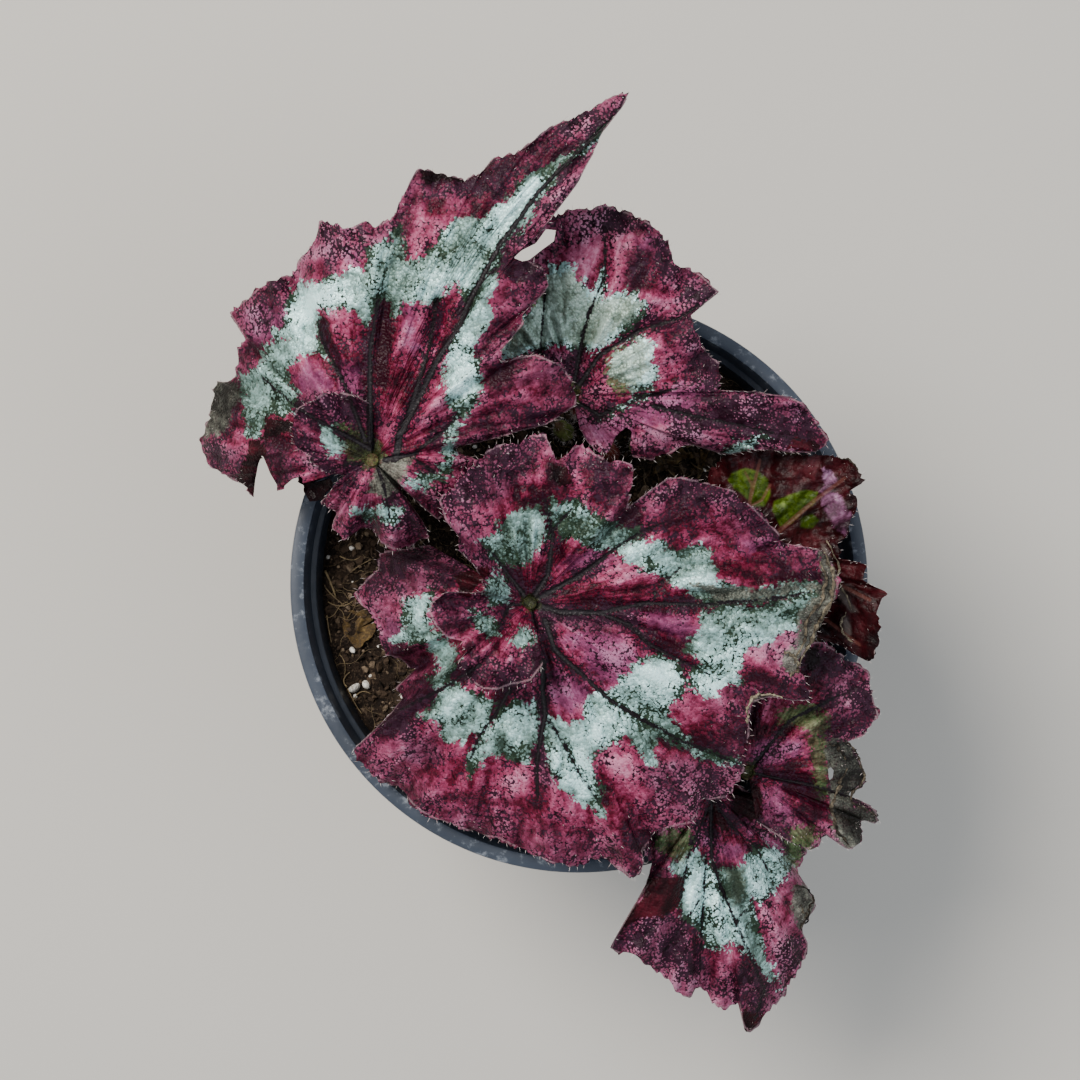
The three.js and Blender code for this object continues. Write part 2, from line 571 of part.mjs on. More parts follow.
// Two faces with the same cells, and a wall all round them.
function bladeSheet(blade, trace) {
  const columns = blade.columns + 1;
  const rows = trace.corners.length;
  const upper = trace.corners.flatMap((corner) => {
    const line = [];
    for (let j = 0; j < columns; j += 1) line.push(bladePoint(blade, trace, corner, j / blade.columns));
    return line;
  });
  const lower = upper.map((p) => p.clone().setZ(p.z - BLADE_THICKNESS));
  const positions = [...upper, ...lower].flatMap((p) => [p.x, p.y, p.z]);
  const under = rows * columns;
  const lastRow = (rows - 1) * columns;
  const index = [];
  const quad = (a, b, c, d) => index.push(a, b, c, a, c, d);
  const wall = (a, b) => quad(a, under + a, under + b, b);
  for (let i = 0; i < rows - 1; i += 1) {
    for (let j = 0; j < columns - 1; j += 1) {
      const a = i * columns + j;
      const c = a + columns + 1;
      quad(a, a + 1, c, a + columns);
      // the under face keeps the same diagonal, with its corners taken the other way
      index.push(under + a, under + c, under + a + 1);
      index.push(under + a, under + a + columns, under + c);
    }
    wall((i + 1) * columns, i * columns);
    wall((i + 1) * columns - 1, (i + 2) * columns - 1);
  }
  for (let j = 0; j < columns - 1; j += 1) {
    wall(j, j + 1);
    wall(lastRow + j + 1, lastRow + j);
  }
  // listed clockwise from above, the same cells face the other way
  if (blade.turn > 0) index.reverse();
  return fromLists(positions, index);
}

// How far the boss reaches below and above the hub's own height.
function bossSize(name) {
  return traceMargin(BLADES[name]).spiral ? SPIRAL_BOSS : FLAT_BOSS;
}

function bossSolid(name) {
  const { hub, hubRise } = BLADES[name];
  const { below, above } = bossSize(name);
  const profile = [
    [0, -below], [STALK_TOP_RADIUS + GAP, -below], [BOSS_RADIUS, -below + BOSS_CONE],
    [BOSS_RADIUS, above - BOSS_ROUND], [BOSS_RADIUS - 3 * BOSS_ROUND, above], [0, above],
  ];
  const centre = pointAt(hub, hubRise);
  return toSolid(lathe(profile, BOSS_SIDES).translate(centre.x, centre.y, centre.z));
}

function makeBlade(name) {
  const blade = BLADES[name];
  const sheet = toSolid(bladeSheet(blade, traceMargin(blade)));
  addPiece(name, toGeometry(sheet.add(bossSolid(name))), blade.look ?? 'blade');
}

makePot();
makeRootedPieces();
Object.keys(BLADES).forEach(makeBlade);

export default plant;
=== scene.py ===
import bpy
import bmesh
import numpy as np
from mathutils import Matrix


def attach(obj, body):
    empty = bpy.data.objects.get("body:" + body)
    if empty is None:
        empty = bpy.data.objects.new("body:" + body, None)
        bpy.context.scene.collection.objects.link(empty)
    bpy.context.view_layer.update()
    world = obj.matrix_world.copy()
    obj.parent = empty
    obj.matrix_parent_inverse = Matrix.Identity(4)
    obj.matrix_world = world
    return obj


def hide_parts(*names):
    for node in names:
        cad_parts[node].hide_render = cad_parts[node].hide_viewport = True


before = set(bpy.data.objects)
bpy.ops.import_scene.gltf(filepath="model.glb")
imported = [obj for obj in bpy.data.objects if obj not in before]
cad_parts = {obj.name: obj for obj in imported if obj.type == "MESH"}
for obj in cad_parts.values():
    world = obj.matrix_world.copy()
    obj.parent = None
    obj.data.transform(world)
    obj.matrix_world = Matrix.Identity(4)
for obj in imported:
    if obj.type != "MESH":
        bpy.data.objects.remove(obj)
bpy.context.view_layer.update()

# ---- The view ----------------------------------------------------------------
# The plant is seen from straight above, from 650 mm over the pot's lip. The picture is
# 1080 pixels square, and a pixel covers 0.268 mm at the height of the lip.
MM = 0.001
PICTURE_SIZE = 1080
PICTURE_CENTRE = 540
MM_PER_PIXEL = 0.268
POT_CENTRE_PIXEL = (579, 584)
LIP_HEIGHT = 125
EYE_HEIGHT = 650
SENSOR_WIDTH = 36
EYE_X = (PICTURE_CENTRE - POT_CENTRE_PIXEL[0]) * MM_PER_PIXEL
EYE_Y = (POT_CENTRE_PIXEL[1] - PICTURE_CENTRE) * MM_PER_PIXEL


def point_at(pixels, rise):
    """The points that pixels show at a rise above the lip: the offset from the picture's
    centre, times the size of a pixel, which shrinks as the point comes nearer the eye."""
    pixels = np.asarray(pixels, float)
    rise = np.broadcast_to(np.asarray(rise, float), pixels.shape[:-1])
    scale = MM_PER_PIXEL * (EYE_HEIGHT - rise) / EYE_HEIGHT
    x = EYE_X + (pixels[..., 0] - PICTURE_CENTRE) * scale
    y = EYE_Y - (pixels[..., 1] - PICTURE_CENTRE) * scale
    return np.stack([x, y, LIP_HEIGHT + rise], -1)


camera_lens = bpy.data.cameras.new("eye")
camera_lens.sensor_width = SENSOR_WIDTH
camera_lens.lens = SENSOR_WIDTH * EYE_HEIGHT / (PICTURE_SIZE * MM_PER_PIXEL)
camera_lens.clip_start = 0.01
eye = bpy.data.objects.new("eye", camera_lens)
eye.location = (EYE_X * MM, EYE_Y * MM, (LIP_HEIGHT + EYE_HEIGHT) * MM)
bpy.context.scene.collection.objects.link(eye)
bpy.context.scene.camera = eye


# ---- The studio --------------------------------------------------------------
# A plain pale floor, one broad soft light high on the left, a weaker one opposite,
# and an even pale surround.
FLOOR_REACH = 3.0
FLOOR_DROP = 0.0002
LIGHTS_AIM = (0, 0, 0.12)
FLOOR_PAINT = "#CBC7BF"
SURROUND_PAINT = "#DDE4EC"
SURROUND_POWER = 0.6
SOFT_LIGHTS = {
    "key_light": dict(place=(-0.65, 0.55, 1.35), size=0.7, watts=30.0, paint="#FFF9F2"),
    "fill_light": dict(place=(0.85, -0.35, 1.1), size=1.2, watts=6.0, paint="#EEF4FF"),
}


def paint(code):
    """A colour code such as #8090A0 as linear light, with full cover."""
    code = code.lstrip("#")
    share = np.array([int(code[i:i + 2], 16) for i in (0, 2, 4)]) / 255
    linear = np.where(share <= 0.04045, share / 12.92, ((share + 0.055) / 1.055) ** 2.4)
    return (*linear.tolist(), 1.0)


def new_finish(name):
    """An empty material: gives the material and its shader's node."""
    finish = bpy.data.materials.new(name)
    finish.use_nodes = True
    return finish, finish.node_tree.nodes["Principled BSDF"]


def fed(made, *sockets):
    """A node with a link or a value for each numbered or named socket, given as
    (socket, value) pairs."""
    for socket, value in sockets:
        if isinstance(value, bpy.types.NodeSocket):
            made.id_data.links.new(value, made.inputs[socket])
        else:
            made.inputs[socket].default_value = value
    return made


floor_finish, floor_shader = new_finish("pale_floor")
fed(floor_shader, ("Base Color", paint(FLOOR_PAINT)), ("Roughness", 0.9))
floor_mesh = bpy.data.meshes.new("floor")
floor_corners = [(-1, -1), (1, -1), (1, 1), (-1, 1)]
floor_mesh.from_pydata(
    [(x * FLOOR_REACH, y * FLOOR_REACH, -FLOOR_DROP) for x, y in floor_corners], [], [(0, 1, 2, 3)])
floor_mesh.materials.append(floor_finish)
floor = bpy.data.objects.new("floor", floor_mesh)
bpy.context.scene.collection.objects.link(floor)

for light_name, light in SOFT_LIGHTS.items():
    lamp = bpy.data.lights.new(light_name, "AREA")
    lamp.shape = "DISK"
    lamp.size = light["size"]
    lamp.energy = light["watts"]
    lamp.color = paint(light["paint"])[:3]
    lamp_object = bpy.data.objects.new(light_name, lamp)
    place = np.array(light["place"])
    lamp_object.location = place
    aim = np.array(LIGHTS_AIM) - place
    sideways = np.hypot(aim[0], aim[1])
    lamp_object.rotation_euler = (np.arctan2(sideways, -aim[2]), 0, np.arctan2(-aim[0], aim[1]))
    bpy.context.scene.collection.objects.link(lamp_object)

surround = bpy.data.worlds.new("surround")
surround.use_nodes = True
fed(surround.node_tree.nodes["Background"], ("Color", paint(SURROUND_PAINT)), ("Strength", SURROUND_POWER))
bpy.context.scene.world = surround


# ---- Pot ---------------------------------------------------------------------
# Black injection-moulded polypropylene: a flat lip with a hanging skirt, a stacking step
# inside the mouth, a thin tapered wall and eight drain holes through its base.
POT_SIDES = 192
RIM_RADIUS = 77.5
LIP_RADIUS = 73.7
LEDGE_RADIUS = 72.9
LEDGE_DEPTH = 9
THROAT_RADIUS = 71.2
SKIRT_HEIGHT = 12
LIP_THICKNESS = 2.6
WALL = 1.3
BASE_RADIUS = 56
FLOOR_THICKNESS = 1.8
FOOT_RING = (50, 52)
FOOT_RECESS = 0.6
DRAIN_RADIUS = 5
DRAIN_RING = 42
DRAIN_COUNT = 8
DRAIN_SIDES = 32
DRILL_REACH = (-3, 6)
POT_PAINT = "#15191F"
# Bluish grey of a painted sheen, the sky's reflection on the lip; the random mottling takes it too.
POT_PAINTED_SHEEN_PAINT = "#424C5B"
POT_DUST_PAINT = "#8D949D"
POT_SPECK_PAINT = "#B9BDC2"


def node(tree, kind, *sockets, **settings):
    """One new node of a finish, with its settings by name and its sockets fed."""
    made = tree.nodes.new(kind)
    for key, value in settings.items():
        setattr(made, key, value)
    return fed(made, *sockets)


def sums(operation, *values):
    """Arithmetic on values, at least one of which comes from a node."""
    tree = next(value.id_data for value in values if isinstance(value, bpy.types.NodeSocket))
    return node(tree, "ShaderNodeMath", *enumerate(values), operation=operation).outputs[0]


def times(a, b):
    """One value times another."""
    return sums("MULTIPLY", a, b)


def plus(a, b):
    """Two values added."""
    return sums("ADD", a, b)


def less(a, b):
    """The first value less the second."""
    return sums("SUBTRACT", a, b)


def blend(share, under, over):
    """Two colours mixed: the share says how much of the second shows."""
    return node(share.id_data, "ShaderNodeMix", (0, share), (6, under), (7, over),
                data_type="RGBA").outputs[2]


def step(value, low, high, to_low=0.0, to_high=1.0):
    """A value eased from to_low to to_high while it runs from low to high."""
    return node(value.id_data, "ShaderNodeMapRange", (0, value), (1, low), (2, high), (3, to_low),
                (4, to_high), interpolation_type="SMOOTHSTEP").outputs[0]


def own_place(shader):
    """The point on the piece, in metres."""
    return node(shader.id_data, "ShaderNodeTexCoord").outputs["Object"]


def height_of(place):
    """How high a point on the piece is, in metres."""
    return node(place.id_data, "ShaderNodeSeparateXYZ", (0, place)).outputs[2]


def stretched(place, squeeze):
    """A place with its height squeezed, so that patches on it come out taller."""
    return node(place.id_data, "ShaderNodeMapping", ("Vector", place), ("Scale", (1, 1, squeeze))).outputs[0]


def cloud(place, size_mm, detail=3.0, rough=0.55):
    """Soft random patches about size_mm across, from 0 to 1."""
    return node(place.id_data, "ShaderNodeTexNoise", ("Vector", place), ("Scale", 1000 / size_mm),
                ("Detail", detail), ("Roughness", rough)).outputs[0]


def cells(place, size_mm):
    """A mosaic of cells about size_mm across: three random numbers for each cell, and the
    distance from its middle."""
    made = node(place.id_data, "ShaderNodeTexVoronoi", ("Vector", place), ("Scale", 1000 / size_mm))
    split = node(place.id_data, "ShaderNodeSeparateColor", (0, made.outputs["Color"]))
    return *split.outputs[:3], made.outputs["Distance"]


def relief(height, depth_mm, strength=1.0):
    """The shading of small bumps: depth_mm is how high a value of 1 stands."""
    return node(height.id_data, "ShaderNodeBump", ("Height", height), ("Distance", depth_mm * MM),
                ("Strength", strength)).outputs[0]


def grid_faces(rows, columns, close_rows=False, close_columns=False, flip=False, start=0):
    """Four-cornered faces between the neighbouring points of a grid that is listed row by
    row. Closed rows or columns join the last to the first."""
    r = np.arange(rows if close_rows else rows - 1)[:, None]
    c = np.arange(columns if close_columns else columns - 1)[None, :]
    r_next = (r + 1) % rows
    c_next = (c + 1) % columns
    corners = [r * columns + c, r * columns + c_next, r_next * columns + c_next, r_next * columns + c]
    if flip:
        corners.reverse()
    return np.stack(np.broadcast_arrays(*corners), -1).reshape(-1, 4) + start


def make_piece(name, points, faces, finishes, face_finish=None, marks=None, smooth=True):
    """A mesh object from points in millimetres. faces is a list of arrays, each with one
    row of point numbers for a face. marks are named numbers kept for every point. Points
    that no face uses are dropped."""
    mesh = bpy.data.meshes.new(name)
    counts = np.concatenate([np.full(len(f), f.shape[1]) for f in faces])
    used, corners = np.unique(np.concatenate([np.asarray(f).ravel() for f in faces]), return_inverse=True)
    points = np.asarray(points, float).reshape(-1, 3)[used]
    mesh.vertices.add(len(points))
    mesh.vertices.foreach_set("co", (points * MM).ravel())
    mesh.loops.add(len(corners))
    mesh.loops.foreach_set("vertex_index", corners)
    mesh.polygons.add(len(counts))
    mesh.polygons.foreach_set("loop_start", np.concatenate([[0], np.cumsum(counts)[:-1]]))
    for finish in finishes:
        mesh.materials.append(finish)
    if face_finish is not None:
        mesh.polygons.foreach_set("material_index", face_finish)
    mesh.update(calc_edges=True)
    mesh.polygons.foreach_set("use_smooth", np.full(len(counts), smooth))
    for mark, values in (marks or {}).items():
        mesh.attributes.new(mark, "FLOAT", "POINT").data.foreach_set("value", values.ravel()[used])
    piece = bpy.data.objects.new(name, mesh)
    bpy.context.scene.collection.objects.link(piece)
    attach(piece, "root")
    return piece


def rounded(corners, radius):
    """A profile with its corners cut by two points each, radius before and after it."""
    corners = np.asarray(corners, float)
    before = np.roll(corners, 1, 0) - corners
    after = np.roll(corners, -1, 0) - corners
    before_length = np.linalg.norm(before, axis=1, keepdims=True)
    after_length = np.linalg.norm(after, axis=1, keepdims=True)
    reach = np.minimum(radius, np.minimum(before_length, after_length) * 0.4)
    inward = corners + before / before_length * reach
    outward = corners + after / after_length * reach
    middle = (inward + outward) / 4 + corners / 2
    return np.stack([inward, middle, outward], 1).reshape(-1, 2)


def turned(profile, sides, start=0):
    """A profile of (radius, height) carried round the upright axis: the points, the side
    faces, and the two small faces that close its ends. start numbers its first point."""
    angle = np.linspace(0, 2 * np.pi, sides, endpoint=False)[:, None]
    radius, height = profile[:, 0], profile[:, 1]
    points = np.stack(np.broadcast_arrays(radius * np.cos(angle), radius * np.sin(angle), height), -1)
    rows = len(profile)
    ends = np.array([np.arange(sides)[::-1] * rows, np.arange(sides) * rows + rows - 1]) + start
    return points.reshape(-1, 3), grid_faces(sides, rows, close_rows=True, start=start), ends


pot_finish, pot_shader = new_finish("black_plastic")
pot_place = own_place(pot_shader)
pot_height = height_of(pot_place)
pot_cloud = cloud(pot_place, 26, 5)
pot_grain = cloud(pot_place, 1.1, 2)
pot_scuff = cloud(stretched(pot_place, 0.35), 3.5, 6, 0.7)
speck_random, _, _, speck_reach = cells(pot_place, 5.5)
pot_speck = times(step(speck_reach, 0.13, 0.08), step(speck_random, 0.86, 0.9))
pot_high = step(pot_height, 0.108, 0.1245)
pot_edge = step(pot_height, 0.1205, 0.1245, 0.12)
pot_worn = times(step(pot_scuff, 0.52, 0.68), times(pot_high, pot_edge))
# Random mottling over the pot, plus a painted sheen: the top of the lip is painted lighter and bluish, as a
# reflection of the sky.
pot_mottle_and_painted_sheen = plus(step(pot_cloud, 0.3, 0.75, 0.12, 0.42), times(pot_high, 0.4))
pot_base = blend(pot_mottle_and_painted_sheen, paint(POT_PAINT), paint(POT_PAINTED_SHEEN_PAINT))
pot_base = blend(times(pot_worn, 0.7), pot_base, paint(POT_DUST_PAINT))
pot_base = blend(times(pot_speck, times(pot_high, 0.6)), pot_base, paint(POT_SPECK_PAINT))
fed(pot_shader, ("Base Color", pot_base), ("Roughness", step(pot_scuff, 0.3, 0.7, 0.34, 0.55)),
    ("Normal", relief(pot_grain, 0.06, 0.5)))

ledge = LIP_HEIGHT - LEDGE_DEPTH
neck = LIP_HEIGHT - SKIRT_HEIGHT
lip_under = LIP_HEIGHT - LIP_THICKNESS
neck_radius = THROAT_RADIUS + WALL
pot_outline = rounded([
    (FOOT_RING[0], FOOT_RECESS), (FOOT_RING[1], 0), (BASE_RADIUS, 0), (neck_radius, neck),
    (neck_radius, ledge - WALL), (LEDGE_RADIUS + WALL, ledge), (LIP_RADIUS + WALL, lip_under),
    (RIM_RADIUS - WALL, lip_under), (RIM_RADIUS - WALL, neck), (RIM_RADIUS, neck),
    (RIM_RADIUS, LIP_HEIGHT), (LIP_RADIUS, LIP_HEIGHT), (LEDGE_RADIUS, ledge),
    (THROAT_RADIUS, ledge - 0.2), (THROAT_RADIUS - 0.2, neck), (BASE_RADIUS - WALL, FLOOR_THICKNESS),
], 0.8)
pot_outline = np.concatenate([[(0.01, FOOT_RECESS)], pot_outline[1:], [(0.01, FLOOR_THICKNESS)]])
pot_points, pot_faces, pot_ends = turned(pot_outline, POT_SIDES)
pot = make_piece("nursery_pot", pot_points, [pot_faces, pot_ends], [pot_finish])

drain_angle = 2 * np.pi * (np.arange(DRAIN_COUNT) + 0.5) / DRAIN_COUNT
drain_round = np.linspace(0, 2 * np.pi, DRAIN_SIDES, endpoint=False)
drain_mesh = bmesh.new()
for angle in drain_angle:
    centre = DRAIN_RING * np.array([np.cos(angle), np.sin(angle)])
    rim = centre + DRAIN_RADIUS * np.stack([np.cos(drain_round), np.sin(drain_round)], -1)
    low, high = ([drain_mesh.verts.new((x * MM, y * MM, z * MM)) for x, y in rim] for z in DRILL_REACH)
    drain_mesh.faces.new(low[::-1])
    drain_mesh.faces.new(high)
    for i in range(len(rim)):
        j = (i + 1) % len(rim)
        drain_mesh.faces.new((low[i], low[j], high[j], high[i]))
drill_data = bpy.data.meshes.new("drill")
drain_mesh.to_mesh(drill_data)
drain_mesh.free()
drill = bpy.data.objects.new("drill", drill_data)
bpy.context.scene.collection.objects.link(drill)
cut = pot.modifiers.new("drains", "BOOLEAN")
cut.operation = "DIFFERENCE"
cut.solver = "EXACT"
cut.object = drill
drilled = bpy.data.meshes.new_from_object(pot.evaluated_get(bpy.context.evaluated_depsgraph_get()))
pot.modifiers.remove(cut)
pot.data = drilled
bpy.data.objects.remove(drill)
pot.data.set_sharp_from_angle(angle=np.radians(35))
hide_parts("pot")


# ---- Soil --------------------------------------------------------------------
# Brown peat mix that fills the pot to 17 mm under the lip and mounds a little round the
# crown. It is full of crumbs, fine rootlets, slivers of bark and white perlite grains.
SOIL_DEPTH = 17
SOIL_MOUND = 2.5
SOIL_BUMP = 0.8
SOIL_WAVES = (0.31, 0.27, 0.12, 0.53)
SOIL_RISE = -16
SOIL_EDGE_RADIUS = 70.6
SOIL_RINGS = 130
SOIL_SECTORS = 330
SOIL_LUMPS = ((7.0, 0.9), (3.2, 0.7), (1.5, 0.4))
CRUMB_COUNT = 8600
CRUMB_SIZES = (0.3, 1.45)
ROOTLET_COUNT = 760
ROOTLET_STEPS = 10
STRAWS = ((0.22, (318, 585), (330, 593), (344, 605)), (0.34, (325, 571), (331, 583), (336, 598)),
          (0.2, (323, 616), (325, 630), (331, 643)), (0.24, (336, 692), (341, 681), (350, 672)),
          (0.18, (336, 694), (348, 707), (362, 714)), (0.16, (328, 602), (341, 606), (353, 601)),
          (0.2, (352, 701), (361, 692), (371, 694)), (0.14, (340, 655), (345, 664), (344, 677)),
          (0.14, (373, 559), (361, 565), (350, 573)), (0.22, (690, 462), (702, 470), (716, 470)),
          (0.16, (668, 470), (678, 478), (690, 476)), (0.15, (340, 556), (352, 560), (361, 556)))
STRAW_STEPS = 12
PERLITE_COUNT = 26
PERLITE_PLACES = ((355, 688, 2.4), (366, 684, 1.7), (352, 650, 1.3), (352, 548, 1.2), (371, 676, 0.8),
                  (348, 700, 1.0), (338, 520, 0.9), (704, 470, 0.8))
PEAT_PAINTS = ("#0D0906", "#2B2018", "#4C3E31", "#6C5B49")


def uneven(x, y, seed):
    """Smooth random height from -1 to 1: random numbers on a square lattice, eased
    between neighbours in both directions."""
    lattice = np.random.default_rng(seed).uniform(-1, 1, (128, 128))
    left, low = np.floor(x).astype(int), np.floor(y).astype(int)
    across, up = x - left, y - low
    across, up = across * across * (3 - 2 * across), up * up * (3 - 2 * up)
    a, b = lattice[left % 128, low % 128], lattice[(left + 1) % 128, low % 128]
    c, d = lattice[left % 128, (low + 1) % 128], lattice[(left + 1) % 128, (low + 1) % 128]
    return (a + (b - a) * across) * (1 - up) + (c + (d - c) * across) * up


def soil_top(x, y):
    """The height of the soil: level, plus a mound that falls to the wall, plus waves."""
    reach = np.hypot(x, y) / THROAT_RADIUS
    wide = np.sin(x * SOIL_WAVES[0] + 1) * np.cos(y * SOIL_WAVES[1])
    slant = np.sin(x * SOIL_WAVES[2] - y * SOIL_WAVES[3])
    mound = SOIL_MOUND * (1 - reach ** 2)
    return LIP_HEIGHT - SOIL_DEPTH + mound + SOIL_BUMP * (wide + slant / 2) * (1 - reach ** 6)


def rough_soil(x, y):
    """The same soil with its lumps: three layers of uneven height, finer and lower."""
    height = soil_top(x, y)
    for i, (size, lift) in enumerate(SOIL_LUMPS):
        height = height + lift * uneven(x / size + 31, y / size + 17, 40 + i)
    return height


def tubes(paths, radii, sides, across=(0, 0, 1), start=0):
    """Round tubes along many paths at once. paths is (tubes, steps, 3) and radii is
    (tubes, steps). Each ring lies square to the path, turned from the across direction.
    Gives the points, the side faces and the end faces."""
    along_path = np.gradient(paths, axis=1)
    along_path /= np.linalg.norm(along_path, axis=-1, keepdims=True) + 1e-9
    side = np.cross(along_path, across)
    side /= np.linalg.norm(side, axis=-1, keepdims=True) + 1e-9
    lift = np.cross(along_path, side)
    angle = np.linspace(0, 2 * np.pi, sides, endpoint=False)
    ring = side[:, :, None] * np.cos(angle)[:, None] + lift[:, :, None] * np.sin(angle)[:, None]
    points = paths[:, :, None] + ring * np.broadcast_to(radii, paths.shape[:2])[:, :, None, None]
    count, steps = paths.shape[:2]
    first = np.arange(count)[:, None, None] * steps * sides + start
    walls = (grid_faces(steps, sides, close_columns=True, flip=True)[None] + first).reshape(-1, 4)
    near_end = (np.arange(sides)[None] + first[:, 0]).reshape(-1, sides)
    far_end = near_end[:, ::-1] + (steps - 1) * sides
    return points.reshape(-1, 3), walls, np.concatenate([near_end, far_end])


def lumps(centres, sizes, seed, rough=0.25, stretch=(0.6, 1.25)):
    """Small irregular crumbs: a twenty-faced body each, pushed in and out at random,
    stretched unevenly, tipped over and turned about the upright axis."""
    rng = np.random.default_rng(seed)
    body = bmesh.new()
    bmesh.ops.create_icosphere(body, subdivisions=1, radius=1)
    corner = np.array([v.co[:] for v in body.verts])
    face = np.array([[v.index for v in f.verts] for f in body.faces])
    body.free()
    count = len(centres)
    shape = corner[None] * (1 + rough * rng.uniform(-1, 1, (count, len(corner), 1)))
    shape = shape * rng.uniform(*stretch, (count, 1, 3))
    angle, tip = rng.uniform(0, 2 * np.pi, (2, count, 1))
    x = shape[..., 0] * np.cos(tip) - shape[..., 2] * np.sin(tip)
    z = shape[..., 0] * np.sin(tip) + shape[..., 2] * np.cos(tip)
    y = x * np.sin(angle) + shape[..., 1] * np.cos(angle)
    x = x * np.cos(angle) - shape[..., 1] * np.sin(angle)
    shape = np.stack([x, y, z], -1) * np.asarray(sizes)[:, None, None]
    points = (centres[:, None] + shape).reshape(-1, 3)
    faces = (face[None] + np.arange(count)[:, None, None] * len(corner)).reshape(-1, 3)
    return points, faces


def kept_inside(points, reach):
    """Points drawn in towards the pot's axis where they are further out than the reach."""
    far = np.maximum(1, np.hypot(points[..., 0], points[..., 1]) / reach)
    x, y = points[..., 0] / far, points[..., 1] / far
    return np.stack([x, y, rough_soil(x, y)], -1)


def scattered(count, seed, reach=SOIL_EDGE_RADIUS - 1.5):
    """Random places spread evenly over the soil, on its surface."""
    rng = np.random.default_rng(seed)
    angle = rng.uniform(0, 2 * np.pi, count)
    radius = reach * np.sqrt(rng.uniform(0, 1, count))
    x, y = radius * np.cos(angle), radius * np.sin(angle)
    return np.stack([x, y, rough_soil(x, y)], -1), rng


def mark(shader, name):
    """A number kept for every point of the piece."""
    return node(shader.id_data, "ShaderNodeAttribute", attribute_name=name).outputs["Fac"]


peat_finish, peat_shader = new_finish("peat")
peat_place = own_place(peat_shader)
peat_low = cloud(peat_place, 9, 4)
peat_mid = cloud(peat_place, 2.2, 4, 0.7)
peat_fibre = cloud(peat_place, 0.7, 4)
peat_colour = blend(step(peat_mid, 0.25, 0.7), paint(PEAT_PAINTS[0]), paint(PEAT_PAINTS[1]))
peat_colour = blend(times(step(peat_fibre, 0.52, 0.66), 0.8), peat_colour, paint(PEAT_PAINTS[2]))
peat_colour = blend(times(step(peat_low, 0.55, 0.75), 0.35), peat_colour, paint(PEAT_PAINTS[3]))
fed(peat_shader, ("Base Color", peat_colour), ("Roughness", 0.95), ("Specular IOR Level", 0.25),
    ("Normal", relief(plus(peat_mid, peat_fibre), 0.7)))

crumb_finish, crumb_shader = new_finish("bark_and_peat_crumbs")
crumb_cloud = cloud(own_place(crumb_shader), 0.9, 4, 0.65)
crumb_tone = sums("MULTIPLY_ADD", crumb_cloud, 0.7, mark(crumb_shader, "shade"))
crumb_colour = blend(step(crumb_tone, 0.2, 0.75), paint("#160F0A"), paint("#45372B"))
crumb_colour = blend(step(crumb_tone, 0.8, 1.25), crumb_colour, paint("#8D7B66"))
fed(crumb_shader, ("Base Color", crumb_colour), ("Roughness", 0.9), ("Specular IOR Level", 0.25),
    ("Normal", relief(crumb_cloud, 0.4)))

rootlet_finish, rootlet_shader = new_finish("dry_rootlet")
rootlet_tone = cloud(own_place(rootlet_shader), 12, 2)
fed(rootlet_shader,
    ("Base Color", blend(step(rootlet_tone, 0.35, 0.65), paint("#2C2217"), paint("#857252"))),
    ("Roughness", 0.8))

straw_finish, straw_shader = new_finish("dry_straw")
straw_tone = cloud(own_place(straw_shader), 3, 4)
fed(straw_shader, ("Base Color", blend(step(straw_tone, 0.3, 0.7), paint("#4A3B28"), paint("#97835F"))),
    ("Roughness", 0.7))

perlite_finish, perlite_shader = new_finish("perlite")
perlite_place = own_place(perlite_shader)
perlite_pores = cloud(perlite_place, 0.7, 3)
fed(perlite_shader,
    ("Base Color", blend(step(perlite_pores, 0.3, 0.6), paint("#A39C8E"), paint("#EDEAE2"))),
    ("Roughness", 0.85), ("Normal", relief(perlite_pores, 0.3)))

soil_radius = SOIL_EDGE_RADIUS * (np.arange(SOIL_RINGS)[::-1] / (SOIL_RINGS - 1)) ** 0.9
soil_radius[-1] = 0.05
soil_angle = np.linspace(0, 2 * np.pi, SOIL_SECTORS, endpoint=False)
soil_x = soil_radius[:, None] * np.cos(soil_angle)
soil_y = soil_radius[:, None] * np.sin(soil_angle)
soil_skin = np.stack([soil_x, soil_y, rough_soil(soil_x, soil_y)], -1)
soil_foot_radius = BASE_RADIUS - WALL - 0.6
soil_foot = np.stack([soil_foot_radius * np.cos(soil_angle), soil_foot_radius * np.sin(soil_angle),
                      np.full(SOIL_SECTORS, FLOOR_THICKNESS + 0.3)], -1)[None]
soil_points = np.concatenate([soil_foot, soil_skin])
soil_count = SOIL_RINGS + 1
soil_faces = grid_faces(soil_count, SOIL_SECTORS, close_columns=True)
soil_round = np.arange(SOIL_SECTORS)
soil_ends = np.array([soil_round[::-1], soil_round + (soil_count - 1) * SOIL_SECTORS])
peat = make_piece("peat_mix", soil_points, [soil_faces, soil_ends], [peat_finish])
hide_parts("soil")

crumb_places, crumb_random = scattered(CRUMB_COUNT, 5)
crumb_least, crumb_most = CRUMB_SIZES
crumb_sizes = crumb_least + (crumb_most - crumb_least) * crumb_random.uniform(0, 1, CRUMB_COUNT) ** 3
crumb_places = kept_inside(crumb_places, SOIL_EDGE_RADIUS - 1.8 * crumb_sizes)
crumb_points, crumb_faces = lumps(crumb_places, crumb_sizes, 6, 0.4, (0.3, 1.4))
crumb_shades = np.repeat(crumb_random.uniform(-0.1, 0.75, CRUMB_COUNT), len(crumb_points) // CRUMB_COUNT)
make_piece("peat_crumbs", crumb_points, [crumb_faces], [crumb_finish],
           marks={"shade": crumb_shades}, smooth=False)

